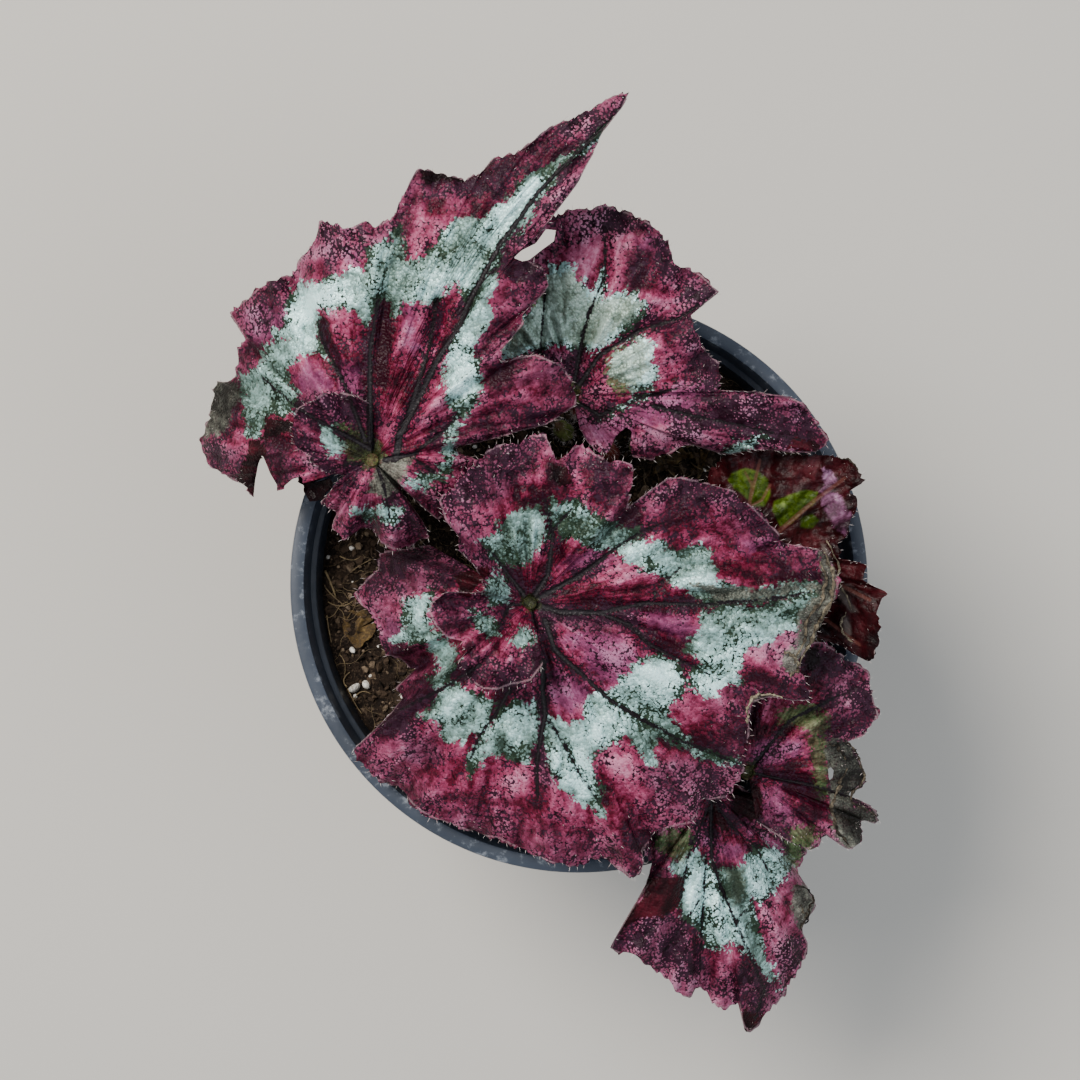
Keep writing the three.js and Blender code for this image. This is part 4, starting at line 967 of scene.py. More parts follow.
LEAVES["back_left"] = dict(
    hub=(372, 460), hub_rise=46, turn=-1, bend=0.03, arch=5, ripple=1.5, ripples=12,
    margin_rise=[0,53, 50,54, 100,50, 115,46, 130,37, 180,34, 215,34, 228,38, 250,41, 272,43, 285,47,
        300,52, 330,64, 345,60, 360,57, 375,51, 390,42, 405,33, 425,26, 450,24, 468,30],
    margin=[369,403, 357,396, 345,394, 332,390, 320,397, 309,402, 299,407, 290,422, 290,436, 295,448,
        310,456, 308,461, 315,465, 328,475, 341,475, 335,483, 327,494, 320,503, 326,511, 335,515, 331,527,
        342,541, 360,533, 372,530, 381,542, 392,548, 403,550, 420,541, 430,537, 424,522, 412,507, 401,493,
        403,489, 418,503, 431,515, 436,520, 445,515, 460,500, 475,480, 482,462, 456,448, 481,442, 500,437,
        520,431, 545,425, 562,415, 575,405, 577,395, 575,385, 560,365, 535,355, 518,358, 503,362, 502,350,
        513,337, 522,325, 524,313, 542,295, 549,285, 545,270, 533,264, 522,256, 545,232, 566,212, 577,186,
        590,178, 600,165, 610,155, 612,140, 630,112, 645,105, 624,97, 606,103, 590,112, 570,118, 556,124,
        548,138, 541,154, 520,154, 494,157, 489,178, 480,177, 465,180, 441,172, 418,168, 411,184, 402,196,
        392,218, 378,226, 366,220, 352,228, 335,221, 320,221, 314,240, 304,254, 290,276, 272,277, 250,297,
        230,313, 243,328, 246,338, 238,348, 235,370, 228,381, 214,381, 211,400, 208,420, 198,440, 206,464,
        220,473, 235,480, 253,497],
    veins=[(9, 3, 396,458, 400,435, 420,395, 440,355, 460,325, 470,300, 500,245, 540,190, 600,130, 640,105),
        (6, 2, 365,440, 345,385, 322,340, 318,320), (8, 3, 371,440, 370,400, 370,350, 378,300),
        (7, 3, 410,410, 430,345, 436,300), (7, 2, 385,460, 412,455, 445,430, 458,415),
        (3, 1.5, 412,457, 435,473), (6, 2, 372,450, 300,410, 262,378), (4, 1.5, 376,462, 385,490, 390,520),
        (3, 1.5, 372,462, 345,465, 330,470), (2, 1, 500,245, 495,215, 500,190), (2, 1, 480,285, 500,262)],
    cuts=[[262,454, 266,463, 270,473, 277,485, 277,493, 262,503, 253,500, 255,480, 258,464],
        [284,486, 292,479, 302,476, 303,486, 284,493], [511,257, 545,229, 549,236, 524,262]],
    silver=[[270,340, 283,322, 286,305, 292,290, 302,282, 322,283, 336,275, 350,268, 362,270, 370,248,
         385,244, 400,226, 404,242, 412,264, 424,250, 440,240, 447,225, 465,214, 480,220, 492,210, 503,203,
         515,185, 530,172, 548,165, 556,152, 568,150, 584,146, 602,127, 626,106, 612,120, 592,142, 578,156,
         562,168, 548,186, 536,202, 534,214, 524,228, 508,240, 502,254, 497,272, 496,290, 490,300, 492,318,
         482,334, 473,345, 480,360, 482,378, 484,392, 470,410, 458,420, 455,440, 455,458, 450,475, 440,472,
         442,450, 448,430, 455,418, 447,405, 443,385, 446,365, 450,350, 455,335, 462,318, 470,300, 462,296,
         457,282, 450,290, 440,300, 430,306, 420,302, 410,305, 402,300, 398,325, 392,308, 384,298, 376,312,
         370,325, 360,318, 345,308, 330,312, 320,310, 318,325, 322,345, 330,360, 315,352, 300,345, 285,340],
        [238,376, 250,372, 262,362, 262,350, 270,342, 290,336, 312,342, 322,352, 300,356, 290,365, 287,376,
         292,386, 300,395, 294,410, 285,418, 268,415, 262,430, 258,440, 248,438, 246,425, 242,410, 246,398,
         240,390], [320,425, 335,428, 345,443, 340,455, 330,455, 323,442],
        [355,506, 370,508, 390,503, 401,512, 395,526, 380,520, 362,518, 352,516],
        [402,484, 415,476, 430,473, 452,476, 438,482, 425,492, 412,486]],
    pink_and_highlight=[[246,308, 292,306, 290,337, 250,340], [310,360, 325,375, 332,388, 318,395, 300,392, 292,378],
        [340,368, 362,366, 361,396, 341,394], [410,350, 400,300, 412,305, 420,350],
        [268,320, 280,330, 275,340, 262,332], [345,252, 358,250, 362,262, 350,268],
        [335,410, 345,420, 340,430, 332,420]],
    dark=[[318,222, 335,222, 340,245, 334,270, 326,275, 320,250],
        [252,298, 272,282, 284,284, 274,296, 258,303],
        [420,178, 470,180, 490,180, 480,195, 450,195, 425,205], [490,160, 505,158, 500,190, 492,200],
        [556,124, 575,118, 570,130, 548,140],
        [605,150, 612,152, 600,170, 580,185, 572,205, 560,215, 570,190, 590,165],
        [295,395, 330,392, 350,400, 350,420, 340,410, 300,415],
        [262,440, 290,445, 300,480, 285,482, 270,465],
        [506,255, 522,255, 548,266, 550,284, 528,280, 510,272], [206,445, 240,450, 245,470, 215,470],
        [380,470, 410,540, 390,545, 430,535],
        [294,436, 312,434, 316,450, 331,462, 333,474, 316,472, 298,461]],
    green=[[340,425, 355,430, 375,440, 385,455, 372,463, 350,460, 345,445]],
    dull=[[213,380, 238,382, 239,398, 232,415, 226,432, 214,436, 198,440, 205,425, 208,408, 210,394],
        [380,462, 396,458, 412,458, 405,470, 398,488, 385,497, 368,492, 372,475]],
    maroon_and_shade=[[421,160, 470,160, 468,180, 440,182, 424,181],
        [249,441, 265,440, 263,455, 257,465, 255,498, 246,488, 236,481, 245,462],
        [266,417, 275,420, 281,418, 291,421, 291,432, 281,433, 272,437, 263,442, 267,428]],
    painted_shade=[[323,318, 345,342, 364,368, 352,378, 334,352, 320,332],
        [306,262, 322,256, 331,268, 322,282, 308,280], [486,368, 515,366, 515,392, 488,396],
        [380,300, 392,300, 392,340, 386,400, 378,376],
        [508,258, 522,256, 546,266, 549,280, 530,286, 508,278],
        [445,300, 459,288, 456,320, 446,352, 437,342], [243,346, 263,343, 258,361, 244,362],
        [395,230, 402,215, 413,188, 417,202, 407,252], [418,196, 446,200, 440,216, 425,211],
        [335,440, 372,430, 388,450, 372,462, 345,458], [211,379, 240,380, 242,400, 234,437, 196,442],
        [416,158, 472,158, 470,185, 420,185],
        [260,442, 270,432, 294,420, 303,470, 288,486, 262,486, 255,500, 232,480, 240,464]],
    light=[[345,251, 363,254, 361,269, 344,267], [250,310, 290,308, 288,335, 255,340],
        [388,316, 414,316, 413,346, 389,346], [566,130, 593,120, 600,132, 574,152],
        [386,512, 412,511, 413,535, 391,538],
        [285,300, 310,289, 345,279, 352,300, 320,306, 300,331, 284,336],
        [432,227, 449,221, 446,240, 430,239], [472,240, 500,205, 540,178, 530,200, 495,250],
        [440,330, 470,325, 478,365, 470,400, 455,395, 450,350]])
LEAVES["back_right"] = dict(
    hub=(572, 395), hub_rise=27, turn=1, bend=0, arch=4, ripple=1.6, ripples=11,
    margin_rise=[0,22, 30,20, 80,22, 120,32, 150,38, 175,39, 200,35, 228,31, 242,28, 258,24, 275,26, 300,28,
        320,29],
    margin=[556,418, 530,420, 505,405, 487,380, 478,350, 480,318, 492,285, 510,255, 532,230, 553,215,
        575,208, 589,210, 605,206, 618,210, 636,216, 655,227, 669,239, 671,250, 675,262, 687,268, 700,275,
        709,283, 718,292, 703,305, 692,316, 697,330, 705,350, 720,365, 722,380, 721,390, 755,391, 770,394,
        786,397, 800,402, 811,413, 818,425, 828,440, 822,452, 795,453, 775,449, 764,446, 754,447, 745,452,
        725,455, 700,445, 690,441, 677,449, 665,455, 650,460, 632,456, 615,456, 600,455, 588,443, 580,430],
    veins=[(7, 2, 572,395, 600,355, 640,330, 680,318, 712,295),
        (5, 2, 575,380, 583,335, 590,310, 605,275, 606,230), (5, 2, 572,395, 540,355, 545,290),
        (5, 2, 572,400, 600,415, 640,398, 690,385), (4, 2, 650,405, 690,415, 740,425, 800,440)],
    cuts=[[513,258, 522,250, 536,243, 546,229, 556,230, 554,241, 543,249, 529,260, 519,262],
        [608,453, 616,436, 626,427, 632,431, 630,446, 634,464, 606,466]],
    silver=[[545,268, 560,262, 575,265, 580,278, 592,290, 603,268, 605,285, 602,300, 615,292, 630,290,
         650,302, 640,318, 630,330, 610,345, 590,352, 580,345, 572,350, 560,345, 545,350, 520,356, 503,362,
         498,340, 520,312, 540,300],
        [608,375, 612,355, 625,345, 645,335, 655,345, 655,365, 660,375, 650,390, 635,394, 622,386],
        [598,420, 612,408, 640,396, 652,390, 642,402, 620,411],
        [722,445, 735,440, 750,437, 760,430, 764,437, 752,450, 735,456, 724,451]],
    pink_and_highlight=[[592,425, 640,405, 680,384, 722,380, 722,390, 700,400, 690,412, 700,422, 704,436, 688,436,
         665,424, 645,425, 610,445, 590,440], [648,232, 668,240, 664,248, 640,250, 640,238],
        [690,300, 712,290, 700,306], [788,402, 800,405, 800,420, 790,418],
        [750,391, 760,391, 760,402, 752,402]],
    dark=[[595,207, 640,212, 655,225, 640,232, 600,232, 592,222], [680,272, 712,285, 690,300, 678,300],
        [650,250, 690,268, 670,282, 650,262],
        [690,400, 745,400, 770,398, 815,415, 825,440, 780,440, 740,420, 705,430],
        [645,430, 690,436, 665,455, 640,460, 632,450], [690,330, 722,365, 722,385, 690,378, 685,350],
        [500,262, 540,272, 535,305, 510,300], [530,350, 585,352, 570,385, 540,380],
        [624,250, 644,250, 652,270, 644,292, 626,288]],
    green=[[548,275, 574,270, 592,302, 612,300, 630,296, 642,304, 628,325, 600,343, 560,342, 512,351,
         506,338, 528,312], [606,374, 612,352, 648,338, 650,362, 634,390, 616,394]],
    maroon_and_shade=[[795,438, 820,445, 818,452, 790,448]],
    painted_shade=[[626,252, 660,252, 672,275, 668,300, 640,290, 627,284],
        [625,252, 640,250, 648,270, 640,290, 627,286], [680,312, 700,312, 708,350, 688,348],
        [640,250, 662,262, 682,275, 662,286, 640,276], [500,300, 530,290, 530,345, 505,355],
        [660,320, 700,330, 715,370, 690,372, 665,345]],
    # The light patch covers nearly the whole leaf: painted light that brightens all of it.
    light=[[548,222, 580,214, 624,218, 628,240, 622,262, 626,292, 652,302, 668,305, 700,284, 712,290,
         690,316, 700,345, 712,372, 716,396, 760,398, 800,408, 818,430, 780,446, 700,436, 660,448, 600,446,
         582,426, 572,400, 560,400, 500,395, 484,340, 500,290, 530,245]])
LEAVES["turned"] = dict(
    hub=(740, 556), hub_rise=14, turn=1, bend=0, arch=2, ripple=1.2, ripples=9, turned_over=True,
    margin_rise=[0,14, 70,12, 140,17, 180,21, 215,27, 235,27, 260,22, 300,20, 340,12],
    margin=[722,572, 705,560, 697,535, 700,505, 708,478, 722,458, 742,445, 760,438, 780,450, 800,453,
        820,455, 836,458, 850,463, 867,479, 852,490, 856,508, 850,520, 847,536, 838,545, 840,558, 868,565,
        865,580, 877,587, 888,594, 882,604, 878,630, 880,642, 873,663, 855,655, 845,645, 820,640, 795,622,
        770,605, 752,590, 742,578],
    veins=[(5, 2, 740,556, 778,532, 815,500, 845,478), (4, 1.5, 740,556, 750,500, 760,460),
        (5, 2, 740,556, 810,570, 870,600), (4, 1.5, 740,556, 800,600, 860,645),
        (2, 1, 750,500, 752,485, 745,472), (2, 1, 770,485, 762,500, 752,505)],
    dry_edges=[(1.3, 0.7, 826,540, 833,553, 839,568, 838,582, 847,598, 853,610),
        (1.2, 0.65, 845,612, 841,624, 846,636, 853,642), (1.0, 0.2, 840,456, 852,462, 860,470)],
    pink_and_highlight=[[823,468, 832,470, 838,480, 834,492, 842,500, 852,508, 855,520, 847,537, 836,532, 828,520,
         822,508, 820,490]],
    green=[[727,480, 732,472, 745,469, 758,471, 768,480, 770,495, 764,507, 752,506, 744,495, 734,489],
        [775,501, 790,495, 805,489, 818,492, 815,503, 805,511, 792,523, 780,526, 772,511],
        [800,517, 812,513, 820,520, 812,528, 800,528]],
    dull=[[820,543, 826,545, 836,572, 846,595, 858,612, 850,612, 838,596, 828,570],
        [846,615, 852,630, 848,640, 842,625]])
LEAVES["right"] = dict(
    hub=(748, 772), hub_rise=13, turn=1, bend=0, arch=3, ripple=1.5, ripples=10,
    margin_rise=[0,12, 60,17, 100,17, 135,13, 160,9, 190,6, 215,8, 245,12],
    margin=[722,768, 702,745, 706,715, 722,690, 745,668, 770,655, 795,646, 820,642, 836,651, 850,660,
        868,672, 872,686, 873,700, 878,715, 865,735, 847,741, 856,752, 862,768, 866,780, 850,795, 863,801,
        875,810, 878,824, 862,821, 864,842, 850,850, 840,845, 830,834, 818,842, 808,849, 796,846, 783,838,
        768,829, 757,822],
    veins=[(5, 2, 748,772, 775,778, 810,785, 860,800), (5, 2, 748,772, 790,720, 850,690),
        (4, 1.5, 755,820, 780,838, 803,848)],
    cuts=[[828,769, 831,767, 834,771, 833,778, 829,781]],
    dry_edges=[(1.7, 0.3, 848,742, 860,758, 866,776, 856,790, 851,802, 864,808, 876,816),
        (2.0, 0.35, 846,768, 838,790, 833,812, 838,830, 850,845), (1.5, 0.2, 829,742, 840,750, 846,760)],
    pink_and_highlight=[[750,752, 762,741, 780,740, 801,742, 806,752, 790,759, 772,766, 754,765],
        [762,792, 780,788, 784,806, 800,822, 785,828, 768,822]],
    dark=[[815,645, 850,655, 874,690, 878,715, 862,738, 835,730, 825,690, 812,670],
        [830,742, 866,742, 872,790, 882,826, 864,846, 845,840, 838,800]],
    green=[[776,712, 795,704, 815,706, 828,714, 830,728, 814,736, 797,728, 781,724],
        [808,736, 826,734, 829,770, 827,796, 818,800, 813,772],
        [786,830, 800,826, 814,826, 818,838, 810,850, 795,845]],
    dull=[[828,740, 846,740, 862,768, 868,780, 850,796, 856,806, 880,812, 878,826, 862,822, 864,842,
         848,852, 834,836, 829,810, 829,780, 826,755]],
    # The second maroon patch and the last patch of painted shade stand for a dark hollow beside the hub:
    # painted shade.
    maroon_and_shade=[[805,650, 818,645, 820,665, 808,672], [733,783, 755,782, 762,800, 759,820, 752,820, 741,802]],
    painted_shade=[[765,655, 835,648, 842,670, 825,692, 812,684, 780,690], [722,700, 760,690, 765,740, 730,760],
        [757,768, 790,760, 812,756, 814,786, 780,778, 757,776], [785,728, 806,732, 812,742, 790,738],
        [783,790, 800,782, 826,790, 829,822, 800,822, 786,806],
        [730,780, 757,780, 764,800, 760,824, 750,824, 738,802]],
    light=[[838,684, 862,688, 868,702, 852,716, 838,708], [756,748, 790,744, 796,752, 762,760]])
LEAVES["low_front"] = dict(
    hub=(712, 790), hub_rise=8, turn=-1, bend=0, arch=3, ripple=1.6, ripples=10,
    margin_rise=[0,7, 60,8, 120,7, 137,5, 149,-4, 160,-12, 190,-20, 215,-13, 240,3, 256,10, 290,10, 320,9],
    margin=[704,768, 690,762, 668,768, 652,785, 642,808, 640,832, 645,852, 650,868, 645,885, 630,912,
        610,938, 610,949, 628,955, 650,968, 665,978, 678,995, 690,997, 700,987, 712,1003, 725,1008,
        738,1005, 743,1026, 750,1032, 760,1024, 770,1012, 787,990, 800,970, 808,945, 799,934, 808,922,
        816,905, 808,888, 799,872, 806,855, 808,835, 800,812, 782,802, 764,797, 742,790, 734,778, 722,770],
    veins=[(5, 2, 712,790, 711,830, 712,860, 722,890, 735,920, 750,955, 765,990, 755,1020),
        (3, 1, 712,800, 735,830, 755,845, 775,885), (3, 1, 712,800, 690,850, 680,900, 640,940),
        (2, 1, 735,820, 760,830, 800,848), (2, 1, 706,860, 702,920, 700,970),
        (2, 1, 735,920, 760,900, 785,910), (2, 1, 722,890, 700,900, 665,950)],
    dry_edges=[(1.8, 0.1, 795,886, 806,888, 813,898, 808,912, 807,926),
        (1.1, 0.3, 800,905, 806,916, 800,930)],
    silver=[[674,866, 684,852, 700,852, 712,866, 726,868, 745,862, 752,848, 766,843, 784,850, 794,860,
         788,877, 776,890, 766,900, 760,905, 752,900, 758,925, 764,945, 770,962, 777,990, 764,975, 750,958,
         740,948, 730,942, 720,950, 706,948, 700,930, 692,924, 680,920, 676,900]],
    pink_and_highlight=[[760,832, 788,848, 786,858, 765,852], [700,838, 722,842, 742,850, 740,862, 722,862, 716,850],
        [612,940, 630,940, 625,952, 612,950], [750,815, 755,830, 748,835, 742,822]],
    dark=[[640,918, 670,915, 690,925, 695,975, 680,985, 660,965, 640,955, 632,940],
        [735,965, 765,980, 760,1010, 735,1000], [795,930, 808,945, 790,985, 775,960, 785,940]],
    green=[[655,836, 675,826, 692,832, 690,850, 682,864, 668,856, 655,850],
        [728,868, 744,870, 746,890, 738,902, 728,895], [786,830, 803,850, 795,872, 786,860]],
    dull=[[793,884, 808,886, 817,898, 812,912, 808,926, 798,932, 792,912]],
    # The last maroon patch and the last patch of painted shade stand for a dark hollow at the hub: painted
    # shade.
    maroon_and_shade=[[648,878, 684,876, 680,900, 674,912, 660,916, 640,918, 622,932, 612,940, 625,912, 642,900],
        [745,1010, 762,1015, 752,1034, 742,1028], [706,815, 712,800, 722,815, 730,830, 722,832],
        [728,784, 742,788, 765,796, 768,810, 750,823, 735,812]],
    painted_shade=[[716,862, 745,868, 748,900, 735,905, 722,890], [726,782, 768,794, 770,812, 750,826, 732,814]],
    light=[[684,858, 712,866, 722,902, 750,930, 740,946, 700,946, 688,915],
        [752,850, 790,852, 794,880, 765,895, 750,890], [712,942, 735,942, 738,965, 716,962],
        [712,975, 738,975, 742,1003, 715,1003], [750,893, 782,893, 778,915, 756,920],
        [766,942, 787,940, 780,972, 768,966],
        [618,938, 640,912, 676,915, 704,948, 730,950, 738,965, 722,1004, 700,984, 680,990, 650,964],
        [690,800, 706,812, 712,850, 692,850, 680,830], [745,818, 770,812, 796,828, 800,846, 770,840]])

# Three brown, brittle bits of dead leaf that lie loose on the soil.
SCRAPS = (
    dict(hub=(358, 629), hub_rise=-14.2, turn=1, bend=0, arch=0.8, ripple=0.5, ripples=5, frill=0.8,
         hub_radius=0.05,
         margin_rise=[0,-15.8, 120,-15.2, 240,-15.8, 350,-15.6],
         margin=[374,622, 371,636, 367,644, 359,648, 352,644, 347,640, 343,632, 345,623, 342,615, 350,608,
             358,610, 366,608, 373,620],
         veins=[(1.6, 1, 345,638, 372,618), (1.2, 0.6, 357,630, 361,645), (1.2, 0.6, 357,630, 353,612)]),
    dict(hub=(676, 464), hub_rise=-13.8, turn=1, bend=0, arch=0.8, ripple=0.6, ripples=4, frill=0.8,
         hub_radius=0.05,
         margin_rise=[0,-15.2, 120,-14.6, 240,-15.2, 350,-14.8],
         margin=[698,466, 690,473, 676,476, 662,472, 652,475, 656,462, 653,454, 667,456, 680,450, 694,455,
             698,464],
         veins=[(1.6, 1, 655,468, 697,462), (1.2, 0.6, 675,465, 668,474)]),
    dict(hub=(701, 452), hub_rise=-13.2, turn=1, bend=0, arch=0.4, ripple=0.8, ripples=3, frill=0.8,
         hub_radius=0.05,
         margin_rise=[0,-14.6, 120,-13, 240,-14.6, 350,-14.2],
         margin=[712,448, 708,458, 703,474, 698,478, 697,462, 690,456, 694,446, 698,437, 703,440, 711,446],
         veins=[(1.2, 0.6, 700,440, 700,474)]),
)

# A small dark lobe of the back left leaf that curls down under its margin, over the lip.
CURLED_LOBE = dict(
    hub=(313, 483), hub_rise=38, turn=1, bend=0, arch=0.5, ripple=0.5, ripples=4, frill=0.8,
    hub_radius=0.05,
    margin_rise=[0,41, 40,38, 110,34.5, 170,36.5, 230,40, 265,41.4, 300,41.8, 350,41.2],
    margin=[330,478, 331,490, 326,498, 315,499, 306,496, 301,488, 297,482, 300,475, 307,470, 316,467,
        325,468, 329,475],
    veins=[(2, 1, 325,470, 305,494)],
    # The whole lobe takes the dark red underside colour, and painted shade over all of it.
    maroon_and_shade=[[270,440, 360,440, 360,530, 270,530]],
    painted_shade=[[270,440, 360,440, 360,530, 270,530]])


def pairs(numbers):
    """A plain list of numbers taken two by two."""
    return np.reshape(np.array(numbers, float), (-1, 2))


def eased_along(steps, place):
    """The value at each place, between listed places and values, eased inside each gap by
    three squares less two cubes of the share of the gap."""
    at, value = pairs(steps).T
    gap = np.clip(np.searchsorted(at, place, side="right") - 1, 0, len(at) - 2)
    share = np.clip((place - at[gap]) / (at[gap + 1] - at[gap]), 0, 1)
    return value[gap] + (value[gap + 1] - value[gap]) * share * share * (3 - 2 * share)


def trace_margin(leaf):
    """The margin round the hub: degrees from its first point, and pixels from the hub. The
    degrees always grow by a least step, also where the margin folds back."""
    offset = pairs(leaf["margin"]) - leaf["hub"]
    reach = np.hypot(offset[:, 0], offset[:, 1])
    heading = leaf["turn"] * np.degrees(np.arctan2(offset[:, 1], offset[:, 0])) + leaf["bend"] * reach
    turned_by = np.cumsum(np.concatenate([[0], (np.diff(heading) + 180) % 360 - 180]))
    least = LEAST_STEP * np.arange(len(reach))
    return np.maximum.accumulate(turned_by - least) + least, reach, heading[0], turned_by[-1] > 360


def pixel_at(leaf, first_heading, degrees, reach):
    """The pixel at a reach from the hub, on the line that meets the margin at degrees."""
    angle = np.radians(leaf["turn"] * (first_heading + degrees - leaf["bend"] * reach))
    return np.stack([leaf["hub"][0] + reach * np.cos(angle), leaf["hub"][1] + reach * np.sin(angle)], -1)


def run_reach(pixels, start, end):
    """The distance from each pixel to a straight run, and how far along it that falls."""
    run = end - start
    share = np.clip(((pixels - start) @ run) / (run @ run + 1e-9), 0, 1)
    return np.linalg.norm(pixels - start - share[..., None] * run, axis=-1), share


def vein_reach(pixels, veins):
    """The distance to the nearest vein's middle, and to its edge: a vein thins
    quickly near the hub and slowly beyond."""
    middle = np.full(pixels.shape[:-1], FAR_PIXELS)
    side = middle.copy()
    for wide, narrow, *line in veins:
        line = pairs(line)
        run = np.concatenate([[0], np.cumsum(np.linalg.norm(np.diff(line, axis=0), axis=1))])
        for k in range(len(line) - 1):
            away, share = run_reach(pixels, line[k], line[k + 1])
            place = (run[k] + share * (run[k + 1] - run[k])) / run[-1]
            middle = np.minimum(middle, away)
            side = np.minimum(side, away - (wide + (narrow - wide) * place ** 0.6) / 2)
    return middle, side


def patch_reach(pixels, patches):
    """How many pixels inside the nearest traced patch: less than 0 outside all of them."""
    best = np.full(pixels.shape[:-1], OUTSIDE_PIXELS)
    for patch in patches:
        corners = pairs(patch)
        nearest = np.full(best.shape, FAR_PIXELS)
        inside = np.zeros(best.shape, bool)
        for start, end in zip(corners, np.roll(corners, -1, 0)):
            nearest = np.minimum(nearest, run_reach(pixels, start, end)[0])
            level = (start[1] > pixels[..., 1]) != (end[1] > pixels[..., 1])
            slope = (end[0] - start[0]) / (end[1] - start[1] + 1e-9)
            inside ^= level & (pixels[..., 0] < slope * (pixels[..., 1] - start[1]) + start[0])
        best = np.maximum(best, np.where(inside, nearest, -nearest))
    return best


def margin_reach(pixels, degrees, margin, margin_degrees):
    """The distance to the margin, seen only near the point's own line, so that the turn
    above or below doesn't count."""
    nearest = np.full(pixels.shape[:-1], FAR_PIXELS)
    for k in range(len(margin) - 1):
        away, _ = run_reach(pixels, margin[k], margin[k + 1])
        apart = np.abs(degrees - (margin_degrees[k] + margin_degrees[k + 1]) / 2)
        nearest = np.minimum(nearest, np.where(apart < OWN_TURN_DEGREES, away, FAR_PIXELS))
    return nearest


def drawn_to_cuts(pixels, kept, cuts):
    """The points on a gap's edge, moved on to the traced cut: each goes against the slope of its depth in
    the cut, by as much as that depth."""
    beside = np.pad(kept, 1, constant_values=True)
    round_it = np.stack([beside[:-1, :-1], beside[1:, :-1], beside[:-1, 1:], beside[1:, 1:]])
    on_edge = round_it.any(0) & ~round_it.all(0)
    moved = pixels.copy()
    if on_edge.any():
        near = pixels[on_edge]
        depth = np.clip(patch_reach(near, cuts), -2.5, 2.5)
        slope = [patch_reach(near + side, cuts) - patch_reach(near - side, cuts)
                 for side in ((0.5, 0), (0, 0.5))]
        moved[on_edge] = near - depth[:, None] * np.stack(slope, -1)
    return moved


